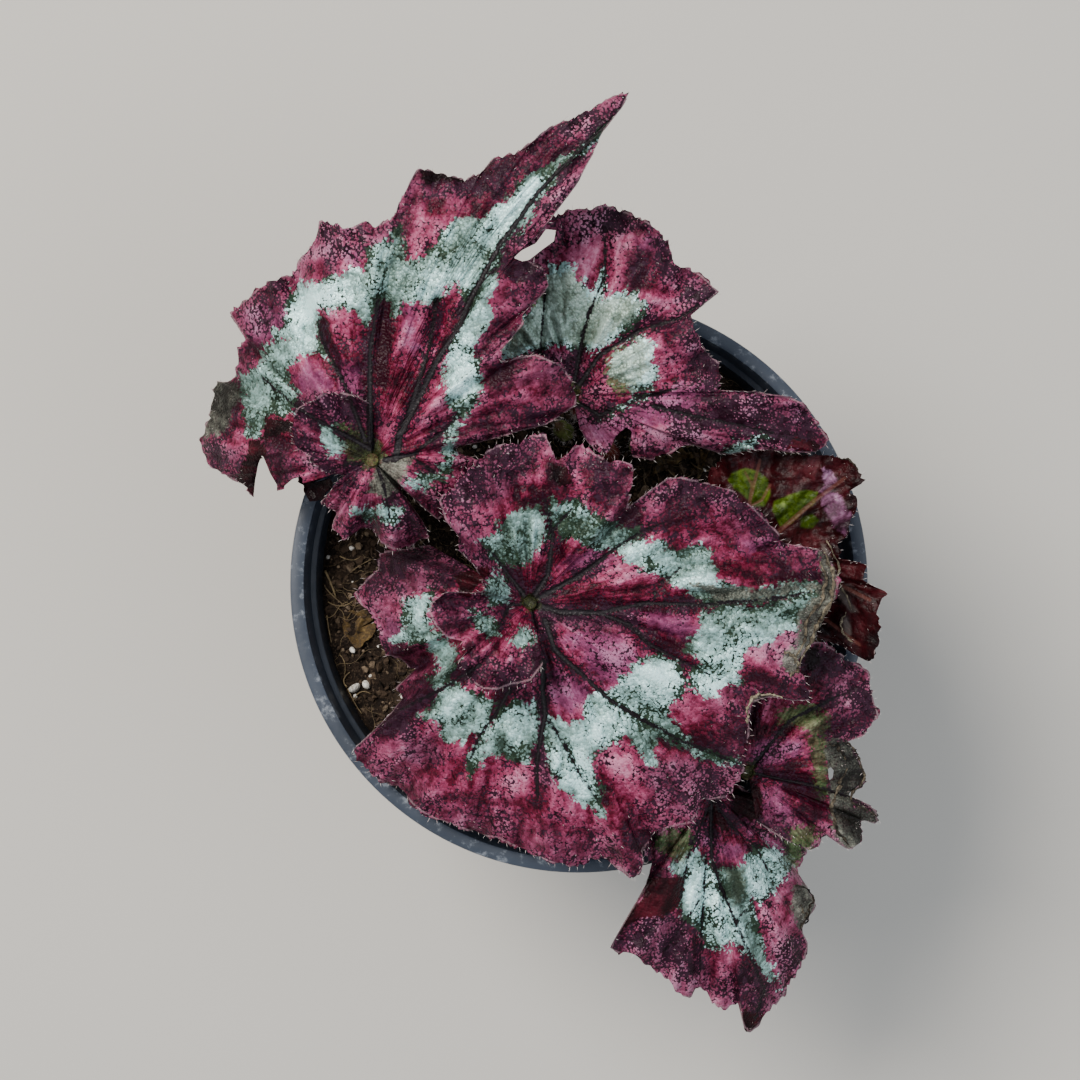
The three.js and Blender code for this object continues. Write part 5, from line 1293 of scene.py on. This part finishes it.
def blade_grid(leaf, seed):
    """The upper face on a grid of rows along the margin and columns from hub to margin.
    Rows lie between the traced lines, partly rounded by a Catmull-Rom curve. The height is
    the hub's, plus a slope that grows late, an arch, a ripple, pleats and puckers, less
    the grooves of the veins and, on a spiral leaf, a steady sinking round the hub. Squares
    that fall in a traced cut are left out."""
    corner_degrees, corner_reach, first_heading, spiral = trace_margin(leaf)
    v = 1 - (1 - np.linspace(0, 1, BLADE_COLUMNS + 1)) ** COLUMN_CROWDING
    hub_pixels = leaf.get("hub_radius", HUB_RADIUS) / MM_PER_PIXEL
    pixels_out = hub_pixels + (corner_reach[:, None] - hub_pixels) * v
    lines = pixel_at(leaf, first_heading, corner_degrees[:, None], pixels_out)
    gaps = np.linalg.norm(np.diff(lines[:, -1], axis=0), axis=1)
    rows = np.maximum(2, np.round(gaps / ROW_PIXELS)).astype(int)
    gap = np.append(np.repeat(np.arange(len(rows)), rows), len(rows) - 1)
    share = (np.arange(len(gap)) - np.append(0, np.cumsum(rows))[gap]) / rows[gap]
    far = len(lines) - 1
    p0, p1, p2, p3 = (lines[np.clip(gap + k, 0, far)] for k in (-1, 0, 1, 2))
    t = share[:, None, None]
    straight = p1 + (p2 - p1) * t
    curved = (p1 + (p2 - p0) / 2 * t + (p0 - 2.5 * p1 + 2 * p2 - 0.5 * p3) * t ** 2
              + (-0.5 * p0 + 1.5 * p1 - 1.5 * p2 + 0.5 * p3) * t ** 3)
    pixels = straight + (curved - straight) * MARGIN_ROUNDING
    row_run = np.cumsum(np.append(0, np.linalg.norm(np.diff(pixels[:, -1], axis=0), axis=1)))
    level = row_run * 0
    tooth = (0.5 - 1.5 * np.abs(uneven(row_run / TOOTH_SPACING, level, seed))
             + 0.8 * uneven(row_run / BAY_SPACING, level, seed + 1))
    outward = pixels[:, -1] - leaf["hub"]
    outward /= np.linalg.norm(outward, axis=1, keepdims=True)
    closing = np.minimum(1, np.minimum(row_run, row_run[-1] - row_run) / TOOTH_SPACING)
    pixels = pixels + (outward * (TOOTH * tooth * closing)[:, None])[:, None] * (v ** 6)[:, None]
    cuts = leaf.get("cuts", [])
    middles = (pixels[:-1, :-1] + pixels[1:, :-1] + pixels[:-1, 1:] + pixels[1:, 1:]) / 4
    kept = patch_reach(middles, cuts) < 0
    pixels = drawn_to_cuts(pixels, kept, cuts)

    degrees = (corner_degrees[gap] + (corner_degrees[gap + 1] - corner_degrees[gap]) * share)[:, None]
    reach = (corner_reach[gap] + (corner_reach[gap + 1] - corner_reach[gap]) * share)[:, None]
    out = hub_pixels + (reach - hub_pixels) * v
    middle, side = vein_reach(pixels, leaf["veins"])
    middle_mm = middle * MM_PER_PIXEL
    slope = (eased_along(leaf["margin_rise"], degrees) - leaf["hub_rise"]) * v ** SLOPE_POWER
    arch = leaf["arch"] * 4 * v * (1 - v) * np.minimum(1, reach / FULL_ARCH_REACH)
    ripple = leaf["ripple"] * v ** 3 * np.sin(2 * np.pi * leaf["ripples"] * degrees / 360)
    groove = VEIN_DEPTH * np.exp(-(middle_mm / VEIN_WIDTH) ** 2)
    groove = groove * np.sin(np.pi * np.minimum(1, v + VEIN_START))
    open_share = np.clip((out * MM_PER_PIXEL - HUB_RADIUS) / SPIRAL_OPEN_RADIUS, 0, 1)
    sink = (SPIRAL_RISE_HUB + (SPIRAL_RISE_RIM - SPIRAL_RISE_HUB) * open_share) * (degrees / 360 - 0.5)
    pleat = uneven(degrees / PLEAT_DEGREES + 40, out / PLEAT_LENGTH, seed + 2) * np.minimum(1, out / 90)
    wide, narrow = (pixels / spacing for spacing in PUCKER_SPACINGS)
    pillow = np.abs(uneven(wide[..., 0], wide[..., 1], seed + 3)) ** 0.7 - 0.5
    pillow = pillow + 0.5 * (np.abs(uneven(narrow[..., 0], narrow[..., 1], seed + 4)) ** 0.7 - 0.5)
    calm = 1 - np.exp(-(middle_mm / SMOOTH_BY_VEINS) ** 2)
    wide, narrow = (row_run / spacing for spacing in FRILL_SPACINGS)
    frill = uneven(wide, level, seed + 5) + 0.7 * uneven(narrow, level, seed + 6)
    curl = leaf.get("frill", FRILL) * frill[:, None] * v ** 7
    outer = np.minimum(1, out / SMOOTH_MIDDLE)
    swell = (pleat + pillow) * calm * outer
    relief_mm = PUCKER * (pleat * 1.2 + pillow * 1.1) * calm * outer
    rise = leaf["hub_rise"] + slope + arch + ripple - groove - sink * spiral + relief_mm + curl
    fine_groove = FINE_VEIN_DEPTH * np.exp(-(middle_mm / FINE_VEIN_WIDTH) ** 2)
    points = point_at(pixels, rise - fine_groove)

    marks = {colour: patch_reach(pixels, leaf.get(colour, [])) for colour in
             ("silver", "dark", "pink_and_highlight", "green", "dull", "maroon_and_shade", "painted_shade", "light")}
    marks["vein"] = side
    marks["swell"] = swell
    marks["heading"] = degrees + out * 0
    marks["out"] = out + degrees * 0
    marks["rim"] = margin_reach(pixels, degrees, lines[:, -1], corner_degrees)
    thickness = BLADE_MARGIN_THICKNESS + (BLADE_MIDDLE_THICKNESS - BLADE_MARGIN_THICKNESS) * (1 - v ** 3)
    rib = RIB_HEIGHT * np.exp(-(middle_mm / RIB_WIDTH) ** 2) * (1 - v ** 4)
    lower = points - np.stack([rib * 0, rib * 0, thickness + rib], -1)
    return dict(upper=points, lower=lower, marks=marks, outward=outward, kept=kept,
                pixels=pixels.reshape(-1, 2))


def blade_faces(kept, flip):
    """The upper face, the lower face, and a wall between them along every edge of the sheet
    and of its gaps. kept is true where a square of the grid is part of the leaf."""
    columns = kept.shape[1] + 1
    under = (kept.shape[0] + 1) * columns
    r, c = np.nonzero(kept)
    corner = r * columns + c
    upper = np.stack([corner, corner + 1, corner + columns + 1, corner + columns], -1)
    lower = upper[:, ::-1] + under
    beside = np.pad(kept, 1)
    is_edge = ~np.stack(
        [beside[r, c + 1], beside[r + 1, c + 2], beside[r + 2, c + 1], beside[r + 1, c]], -1)
    start, end = upper[is_edge], np.roll(upper, -1, 1)[is_edge]
    wall = np.stack([end, start, start + under, end + under], -1)
    if flip:
        return upper, lower, wall
    return upper[:, ::-1], lower[:, ::-1], wall[:, ::-1]


def shifted(value, *waves):
    """A value with several random numbers round a half added, each times its own weight."""
    for wave, weight in waves:
        value = plus(value, times(less(wave, 0.5), weight))
    return value


def tones(value, *codes):
    """Colours evenly spaced while a value runs from 0 to 1."""
    made = node(value.id_data, "ShaderNodeValToRGB", (0, value))
    ladder = made.color_ramp.elements
    ladder[0].color, ladder[1].color = paint(codes[0]), paint(codes[-1])
    for k, code in enumerate(codes[1:-1], 1):
        ladder.new(k / (len(codes) - 1)).color = paint(code)
    return made.outputs[0]


def grains(share, reach, *randoms):
    """Dark grains round pale cell middles: 1 on a dark grain. The share says how much of
    the skin is dark, and random numbers make each cell wider or narrower."""
    edge = shifted(less(0.9, times(share, 0.75)), *randoms)
    return step(less(reach, edge), -0.07, 0.07)


blade_finish, blade_shader = new_finish("leaf_upper_skin")
blade_place = own_place(blade_shader)
r1, g1, b1, d1 = cells(blade_place, FINE_CELL)
r2, g2, b2, _ = cells(blade_place, COARSE_CELL)
wide_cloud = cloud(blade_place, 15, 3)
grain_cloud = cloud(blade_place, 8, 2)
mid_cloud = cloud(blade_place, 3.6, 3)
fine_cloud = cloud(blade_place, 0.5, 2)
ragged_reach = shifted(d1, (fine_cloud, 1.1))
streak_place = node(blade_shader.id_data, "ShaderNodeCombineXYZ",
                    (0, times(mark(blade_shader, "heading"), 1 / STREAK_DEGREES)),
                    (1, times(mark(blade_shader, "out"), 1 / STREAK_PIXELS))).outputs[0]
streak = node(streak_place.id_data, "ShaderNodeTexNoise", ("Vector", streak_place), ("Scale", 1.0),
              ("Detail", 4.0), ("Roughness", 0.6)).outputs[0]
vein_mark = mark(blade_shader, "vein")
rim_mark = mark(blade_shader, "rim")
# The tone is lighter on the swollen crests of the relief and darker in its hollows: painted light and shade
# of the relief, with random tone and streaks on top.
tone = sums("MULTIPLY_ADD", mark(blade_shader, "swell"), 0.34, 0.5)
tone = shifted(tone, (wide_cloud, 1.1), (streak, 1.2), (mid_cloud, 0.7), (b1, 0.26), (b2, 0.12))
# Painted shade in the grooves beside the sunken veins: the red darkens towards each vein.
painted_valley_shade = step(vein_mark, 16, 0, 0, 0.3)
# Painted shade: the traced patches darken the tone in creases, folds and shaded parts, and carry more dark
# specks.
painted_shade_share = step(shifted(mark(blade_shader, "painted_shade"), (mid_cloud, 16), (r2, 3)), -6, 5)
# Painted light: the light patches brighten the tone as painted highlights.
painted_light_share = step(shifted(mark(blade_shader, "light"), (mid_cloud, 16)), -8, 6)
tone = less(tone, times(painted_shade_share, 0.4))
tone = plus(tone, times(painted_light_share, 0.22))
red_tone = less(tone, painted_valley_shade)

near_rim = step(shifted(rim_mark, (mid_cloud, 40), (wide_cloud, 70)), 48, 4)
dark_zone = step(shifted(mark(blade_shader, "dark"), (mid_cloud, 24)), -9, 7)
dusk = sums("MAXIMUM", times(near_rim, 0.75), dark_zone)
dark_share = sums("MULTIPLY_ADD", near_rim, 0.26, 0.15)
dark_share = plus(dark_share, times(dark_zone, 0.3))
dark_share = plus(dark_share, step(vein_mark, 12, 0, 0, 0.4))
dark_share = shifted(dark_share, (grain_cloud, 1.9), (streak, 0.5))
dark_speck = grains(dark_share, ragged_reach, (g1, 0.25), (g2, 0.25))

red_colour = tones(red_tone, "#25010E", "#5A0D25", "#873150", "#A85472", "#C47D98")
# Pink skin, and painted highlights where the pink patches stand on lit crests.
pink_and_highlight_share = step(shifted(mark(blade_shader, "pink_and_highlight"), (r2, 8), (mid_cloud, 20)), -7, 6)
pink_and_highlight_colour = tones(tone, "#42122F", "#6F2F50", "#8D486B", "#AA6E8E")
red_colour = blend(pink_and_highlight_share, red_colour, pink_and_highlight_colour)
dusk_colour = tones(tone, "#2A0818", "#56273D", "#77435C", "#92667E")
red_colour = blend(times(dusk, 0.75), red_colour, dusk_colour)
dark_colour = blend(b2, paint("#1C0612"), paint("#361C2C"))
skin_colour = blend(dark_speck, red_colour, dark_colour)

silver_mark = shifted(mark(blade_shader, "silver"), (r1, 5), (r2, 4), (streak, 26), (mid_cloud, 12))
silver_share = step(silver_mark, -1.2, 1.2)
speck_share = step(mark(blade_shader, "silver"), 10, 0, 0.1, 0.42)
speck_share = plus(speck_share, step(vein_mark, 8, 0, 0, 0.25))
speck_share = plus(speck_share, times(painted_shade_share, 0.3))
speck_share = shifted(speck_share, (grain_cloud, 3.0), (streak, 0.7))
silver_tone = plus(times(tone, 0.75), 0.13)
silver_tone = less(silver_tone, times(speck_share, 0.3))
# Painted highlight from the light patches on the silver too.
silver_tone = plus(silver_tone, times(painted_light_share, 0.22))
silver_tone = shifted(silver_tone, (b1, 0.2), (fine_cloud, 0.42))
silver_colour = tones(silver_tone, "#33433B", "#60776F", "#86A39D", "#A6CBC7", "#DAFFFD")
green_share = step(shifted(mark(blade_shader, "green"), (r1, 8), (mid_cloud, 16)), -3, 3)
grey_green = tones(silver_tone, "#3C4537", "#616C5C", "#828E7C", "#A7B5A7")
silver_colour = blend(times(green_share, 0.75), silver_colour, grey_green)
silver_speck = times(grains(speck_share, ragged_reach, (g1, 0.25), (g2, 0.2)),
                    step(green_share, 0, 1, 1, 0.45))
silver_colour = blend(silver_speck, silver_colour, blend(b2, paint("#152016"), paint("#314133")))
skin_colour = blend(silver_share, skin_colour, silver_colour)

green_colour = tones(tone, "#15180D", "#2C381D", "#4A6139", "#78935F")
green_share = times(green_share, step(silver_share, 0, 1, 0.8, 0.1))
skin_colour = blend(green_share, skin_colour, green_colour)
dull_share = step(shifted(mark(blade_shader, "dull"), (mid_cloud, 12), (r1, 4)), -2, 2)
dull_tone = plus(times(tone, 0.6), 0.12)
dull_tone = less(dull_tone, times(dark_zone, 0.3))
dull_tone = shifted(dull_tone, (fine_cloud, 1.2), (mid_cloud, 0.8))
dull_colour = tones(dull_tone, "#1B1B17", "#40413A", "#696A5F", "#979587")
skin_colour = blend(times(dull_share, 0.95), skin_colour, dull_colour)
# The dark red underside where a fold or curl shows it, and painted shade where a patch covers a dark hollow.
maroon_and_shade_share = step(shifted(mark(blade_shader, "maroon_and_shade"), (mid_cloud, 10), (r1, 4)), -1.2, 0.6)
maroon_and_shade_colour = tones(tone, "#0E0103", "#26040B", "#4A101D")
skin_colour = blend(maroon_and_shade_share, skin_colour, maroon_and_shade_colour)
vein_share = step(shifted(vein_mark, (mid_cloud, 3.5), (r1, 1.8)), 0.9, -0.6)
vein_colour = blend(step(vein_mark, -0.6, -2.6), paint("#171014"), paint("#302D2F"))
vein_colour = blend(step(fine_cloud, 0.4, 0.7, 0, 0.5), vein_colour, paint("#120D10"))
skin_colour = blend(vein_share, skin_colour, vein_colour)
hub_share = step(shifted(mark(blade_shader, "out"), (r1, 5), (mid_cloud, 18)), 11, 5, 0, 0.85)
hub_colour = tones(shifted(tone, (fine_cloud, 1.5)), "#14140A", "#34371E", "#5C6038")
skin_colour = blend(hub_share, skin_colour, hub_colour)
rim_share = step(shifted(rim_mark, (fine_cloud, 2)), 1.5, 0.3, 0, 0.55)
skin_colour = blend(rim_share, skin_colour, paint("#9C7E86"))
fed(blade_shader, ("Base Color", skin_colour), ("Roughness", step(fine_cloud, 0.2, 0.8, 0.34, 0.52)),
    ("Metallic", times(silver_share, 0.22)), ("Specular IOR Level", 0.12), ("Subsurface Weight", 0.05),
    ("Subsurface Radius", (0.002, 0.0007, 0.0007)))
blade_bump = plus(times(d1, -0.7), mid_cloud)
fed(blade_shader, ("Normal", relief(blade_bump, 0.36, 0.85)))

under_finish, under_shader = new_finish("leaf_under_skin")
under_place = own_place(under_shader)
under_cloud = cloud(under_place, 7, 4)
under_fine = cloud(under_place, 1.2, 3)
under_vein = mark(under_shader, "vein")
# Painted light and shade of the relief on the under side, with random tone on top.
under_tone = sums("MULTIPLY_ADD", mark(under_shader, "swell"), -0.3, 0.4)
under_tone = shifted(under_tone, (under_cloud, 1.8), (under_fine, 0.9))
under_colour = tones(under_tone, "#0E0001", "#220205", "#36090F", "#562329")
under_green = step(shifted(mark(under_shader, "green"), (under_cloud, 6)), -1.5, 1.5)
under_colour = blend(under_green, under_colour,
                     tones(under_tone, "#1A2602", "#2F4006", "#50641A", "#82944B"))
# Pink skin under the leaf, with painted highlights in the same patches.
under_pink_and_highlight = step(shifted(mark(under_shader, "pink_and_highlight"), (under_fine, 8), (under_cloud, 20)), -1, 3)
under_colour = blend(under_pink_and_highlight, under_colour,
                     tones(under_tone, "#200A16", "#4F2B41", "#7F5673", "#C097B2"))
under_dull = step(shifted(mark(under_shader, "dull"), (under_fine, 6)), -2, 2)
under_colour = blend(under_dull, under_colour, paint("#574C48"))
under_colour = blend(step(under_vein, 1.5, 0, 0, 0.5), under_colour, paint("#6A3C34"))
fed(under_shader, ("Base Color", under_colour), ("Roughness", 0.4), ("Specular IOR Level", 0.16),
    ("Subsurface Weight", 0.05), ("Subsurface Radius", (0.002, 0.0007, 0.0007)),
    ("Normal", relief(plus(under_cloud, under_fine), 0.4)))

dry_finish, dry_shader = new_finish("dry_leaf_skin")
dry_place = own_place(dry_shader)
dry_fine = cloud(dry_place, 0.8, 4, 0.65)
dry_tone = shifted(mark(dry_shader, "shade"), (cloud(dry_place, 3.5, 3), 1.2), (dry_fine, 1.2))
fed(dry_shader, ("Base Color", tones(dry_tone, "#120E0B", "#3B342B", "#6E6453", "#A2977F")),
    ("Roughness", 0.8), ("Specular IOR Level", 0.2), ("Normal", relief(dry_fine, 0.4)))

scrap_finish, scrap_shader = new_finish("dry_scrap_skin")
scrap_place = own_place(scrap_shader)
scrap_fine = cloud(scrap_place, 0.7, 4, 0.65)
scrap_tone = shifted(cloud(scrap_place, 4, 3), (scrap_fine, 1.6))
scrap_vein = step(mark(scrap_shader, "vein"), 0.6, -0.6, 0, 0.6)
scrap_colour = tones(scrap_tone, "#160F08", "#362810", "#5C451F", "#7F6839")
scrap_colour = blend(scrap_vein, scrap_colour, paint("#2C2110"))
fed(scrap_shader, ("Base Color", scrap_colour), ("Roughness", 0.75),
    ("Normal", relief(scrap_fine, 0.4)))

for seed, scrap in enumerate(SCRAPS):
    sheet = blade_grid(scrap, SCRAP_SEED + 10 * seed)
    make_piece(f"dry_scrap_{seed + 1}", np.stack([sheet["upper"], sheet["lower"]]),
               blade_faces(sheet["kept"], True), [scrap_finish],
               marks={"vein": np.tile(sheet["marks"]["vein"].ravel(), 2)})

lobe = blade_grid(CURLED_LOBE, LOBE_SEED)
lobe["marks"]["rim"][:] = lobe["marks"]["out"][:] = NO_RIM_PIXELS
make_piece("curled_lobe_back_left", np.stack([lobe["upper"], lobe["lower"]]),
           blade_faces(lobe["kept"], True), [blade_finish],
           marks={key: np.tile(value.ravel(), 2) for key, value in lobe["marks"].items()})

for seed, (leaf_name, leaf) in enumerate(LEAVES.items()):
    sheet = blade_grid(leaf, BLADE_SEED + 10 * seed)
    upper_points, lower_points, outward = sheet["upper"], sheet["lower"], sheet["outward"]
    blade_rows, blade_columns = upper_points.shape[:2]
    upper, lower, wall = blade_faces(sheet["kept"], leaf["turn"] > 0)
    boss = STALKS[leaf_name]["boss"]
    boss_outline = rounded([(1.9, -boss["below"]), (2.3, -boss["below"] + 1.2), (BOSS_RADIUS, -0.6),
                            (BOSS_RADIUS, boss["above"] - 0.7), (1.5, boss["above"] - 0.1)], 0.6)
    boss_outline = np.concatenate([[(0.01, -boss["below"])], boss_outline, [(0.01, boss["above"] - 0.3)]])
    hub_point = point_at(leaf["hub"], leaf["hub_rise"])
    first = 2 * blade_rows * blade_columns
    boss_points, boss_faces, boss_ends = turned(boss_outline, BOSS_SIDES, first)
    boss_points = boss_points + hub_point
    boss_pixels = leaf["hub"] + (boss_points - hub_point)[:, :2] * (1, -1) / MM_PER_PIXEL
    points = np.concatenate([upper_points.reshape(-1, 3), lower_points.reshape(-1, 3), boss_points])
    marks = {key: np.concatenate([value.ravel(), value.ravel(), np.full(len(boss_points), OUTSIDE_PIXELS)])
             for key, value in sheet["marks"].items()}
    marks["rim"][first:] = NO_RIM_PIXELS
    marks["vein"][first:] = vein_reach(boss_pixels, leaf["veins"])[1]
    marks["out"][first:] = BOSS_REACH_PIXELS
    marks["swell"][first:] = 0
    turned_over = leaf.get("turned_over", False)
    counts = (len(upper), len(lower), len(wall), len(boss_faces), len(boss_ends))
    face_finish = np.repeat([int(turned_over), int(not turned_over), 0, 0, 0], counts)
    blade = make_piece("leaf_" + leaf_name, points, [upper, lower, wall, boss_faces, boss_ends],
                       [blade_finish, under_finish],
                       face_finish, marks)
    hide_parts("blade_" + leaf_name)

    random = np.random.default_rng(HAIR_SEED + seed)
    margin_rows = np.arange(2, blade_rows - 2, MARGIN_HAIR_STEP)
    margin_rows = margin_rows[sheet["kept"][margin_rows, -1] & sheet["kept"][margin_rows - 1, -1]]
    margin_out = np.stack([outward[:, 0], -outward[:, 1], np.full(blade_rows, 0.25)], -1)[margin_rows]
    hair_out = margin_out + random.normal(0, 0.45, margin_out.shape)
    hair_roots = (upper_points[margin_rows, -1] + lower_points[margin_rows, -1]) / 2 - margin_out * 0.1
    face_count = blade_rows // 3
    face_rows = random.integers(0, blade_rows - 1, face_count)
    face_columns = (blade_columns - 2 - 14 * random.uniform(0, 1, face_count) ** 2).astype(int)
    face_kept = sheet["kept"][face_rows, face_columns]
    face_rows, face_columns, face_count = face_rows[face_kept], face_columns[face_kept], face_kept.sum()
    face_roots = upper_points[face_rows, face_columns]
    face_out = np.array([0, 0, 1]) + random.normal(0, 0.5, (face_count, 3))
    hair_lengths = [random.uniform(0.7, 2.0, len(hair_roots)), random.uniform(0.5, 1.3, face_count)]
    hair_points, hair_quads, hair_tips = hairs(
        np.concatenate([hair_roots, face_roots]), np.concatenate([hair_out, face_out]),
        np.concatenate(hair_lengths), FINE_HAIR_RADIUS)
    make_piece("leaf_hairs_" + leaf_name, hair_points, [hair_quads, hair_tips], [hair_finish])

    for number, (wide, tint, *line) in enumerate(leaf.get("dry_edges", [])):
        line = pairs(line)
        edge_line = smooth_line([(px, py, 0) for px, py in line], EDGE_STEPS)
        edge_run = np.linspace(0, len(line) * 5, EDGE_STEPS)
        wander = [uneven(edge_run, edge_run * 0 + k, EDGE_SEED + number) for k in (3, 9, 15)]
        edge_pixels = edge_line[:, :2] + np.stack(wander[:2], -1) * wide
        away = np.linalg.norm(sheet["pixels"][None] - edge_pixels[:, None], axis=-1)
        edge_path = upper_points.reshape(-1, 3)[np.argmin(away, axis=1)]
        smooth = np.ones(2 * EDGE_SMOOTHING + 1) / (2 * EDGE_SMOOTHING + 1)
        padded = np.pad(edge_path, ((EDGE_SMOOTHING, EDGE_SMOOTHING), (0, 0)), mode="edge")
        edge_path = np.stack([np.convolve(padded[:, k], smooth, mode="valid") for k in range(3)], -1)
        edge_path[:, 2] += wide * MM_PER_PIXEL * 0.3 * (1 + wander[2])
        ends = np.sin(np.pi * np.linspace(0.04, 0.96, EDGE_STEPS)) ** 0.4
        edge_radius = wide * MM_PER_PIXEL * ends * (0.8 + 0.35 * wander[2])
        edge_points, edge_walls, edge_ends = tubes(edge_path[None], edge_radius[None], EDGE_SIDES)
        ridge = np.tile(np.arange(EDGE_SIDES), EDGE_STEPS)
        ridge = uneven(ridge * 1.3, np.repeat(edge_run, EDGE_SIDES) * 1.5, RIDGE_SEED + number)
        edge_points += (edge_points - np.repeat(edge_path, EDGE_SIDES, axis=0)) * 0.35 * ridge[:, None]
        make_piece(f"dry_edge_{leaf_name}_{number + 1}", edge_points, [edge_walls, edge_ends],
                   [dry_finish], marks={"shade": tint + 0.2 * ridge})
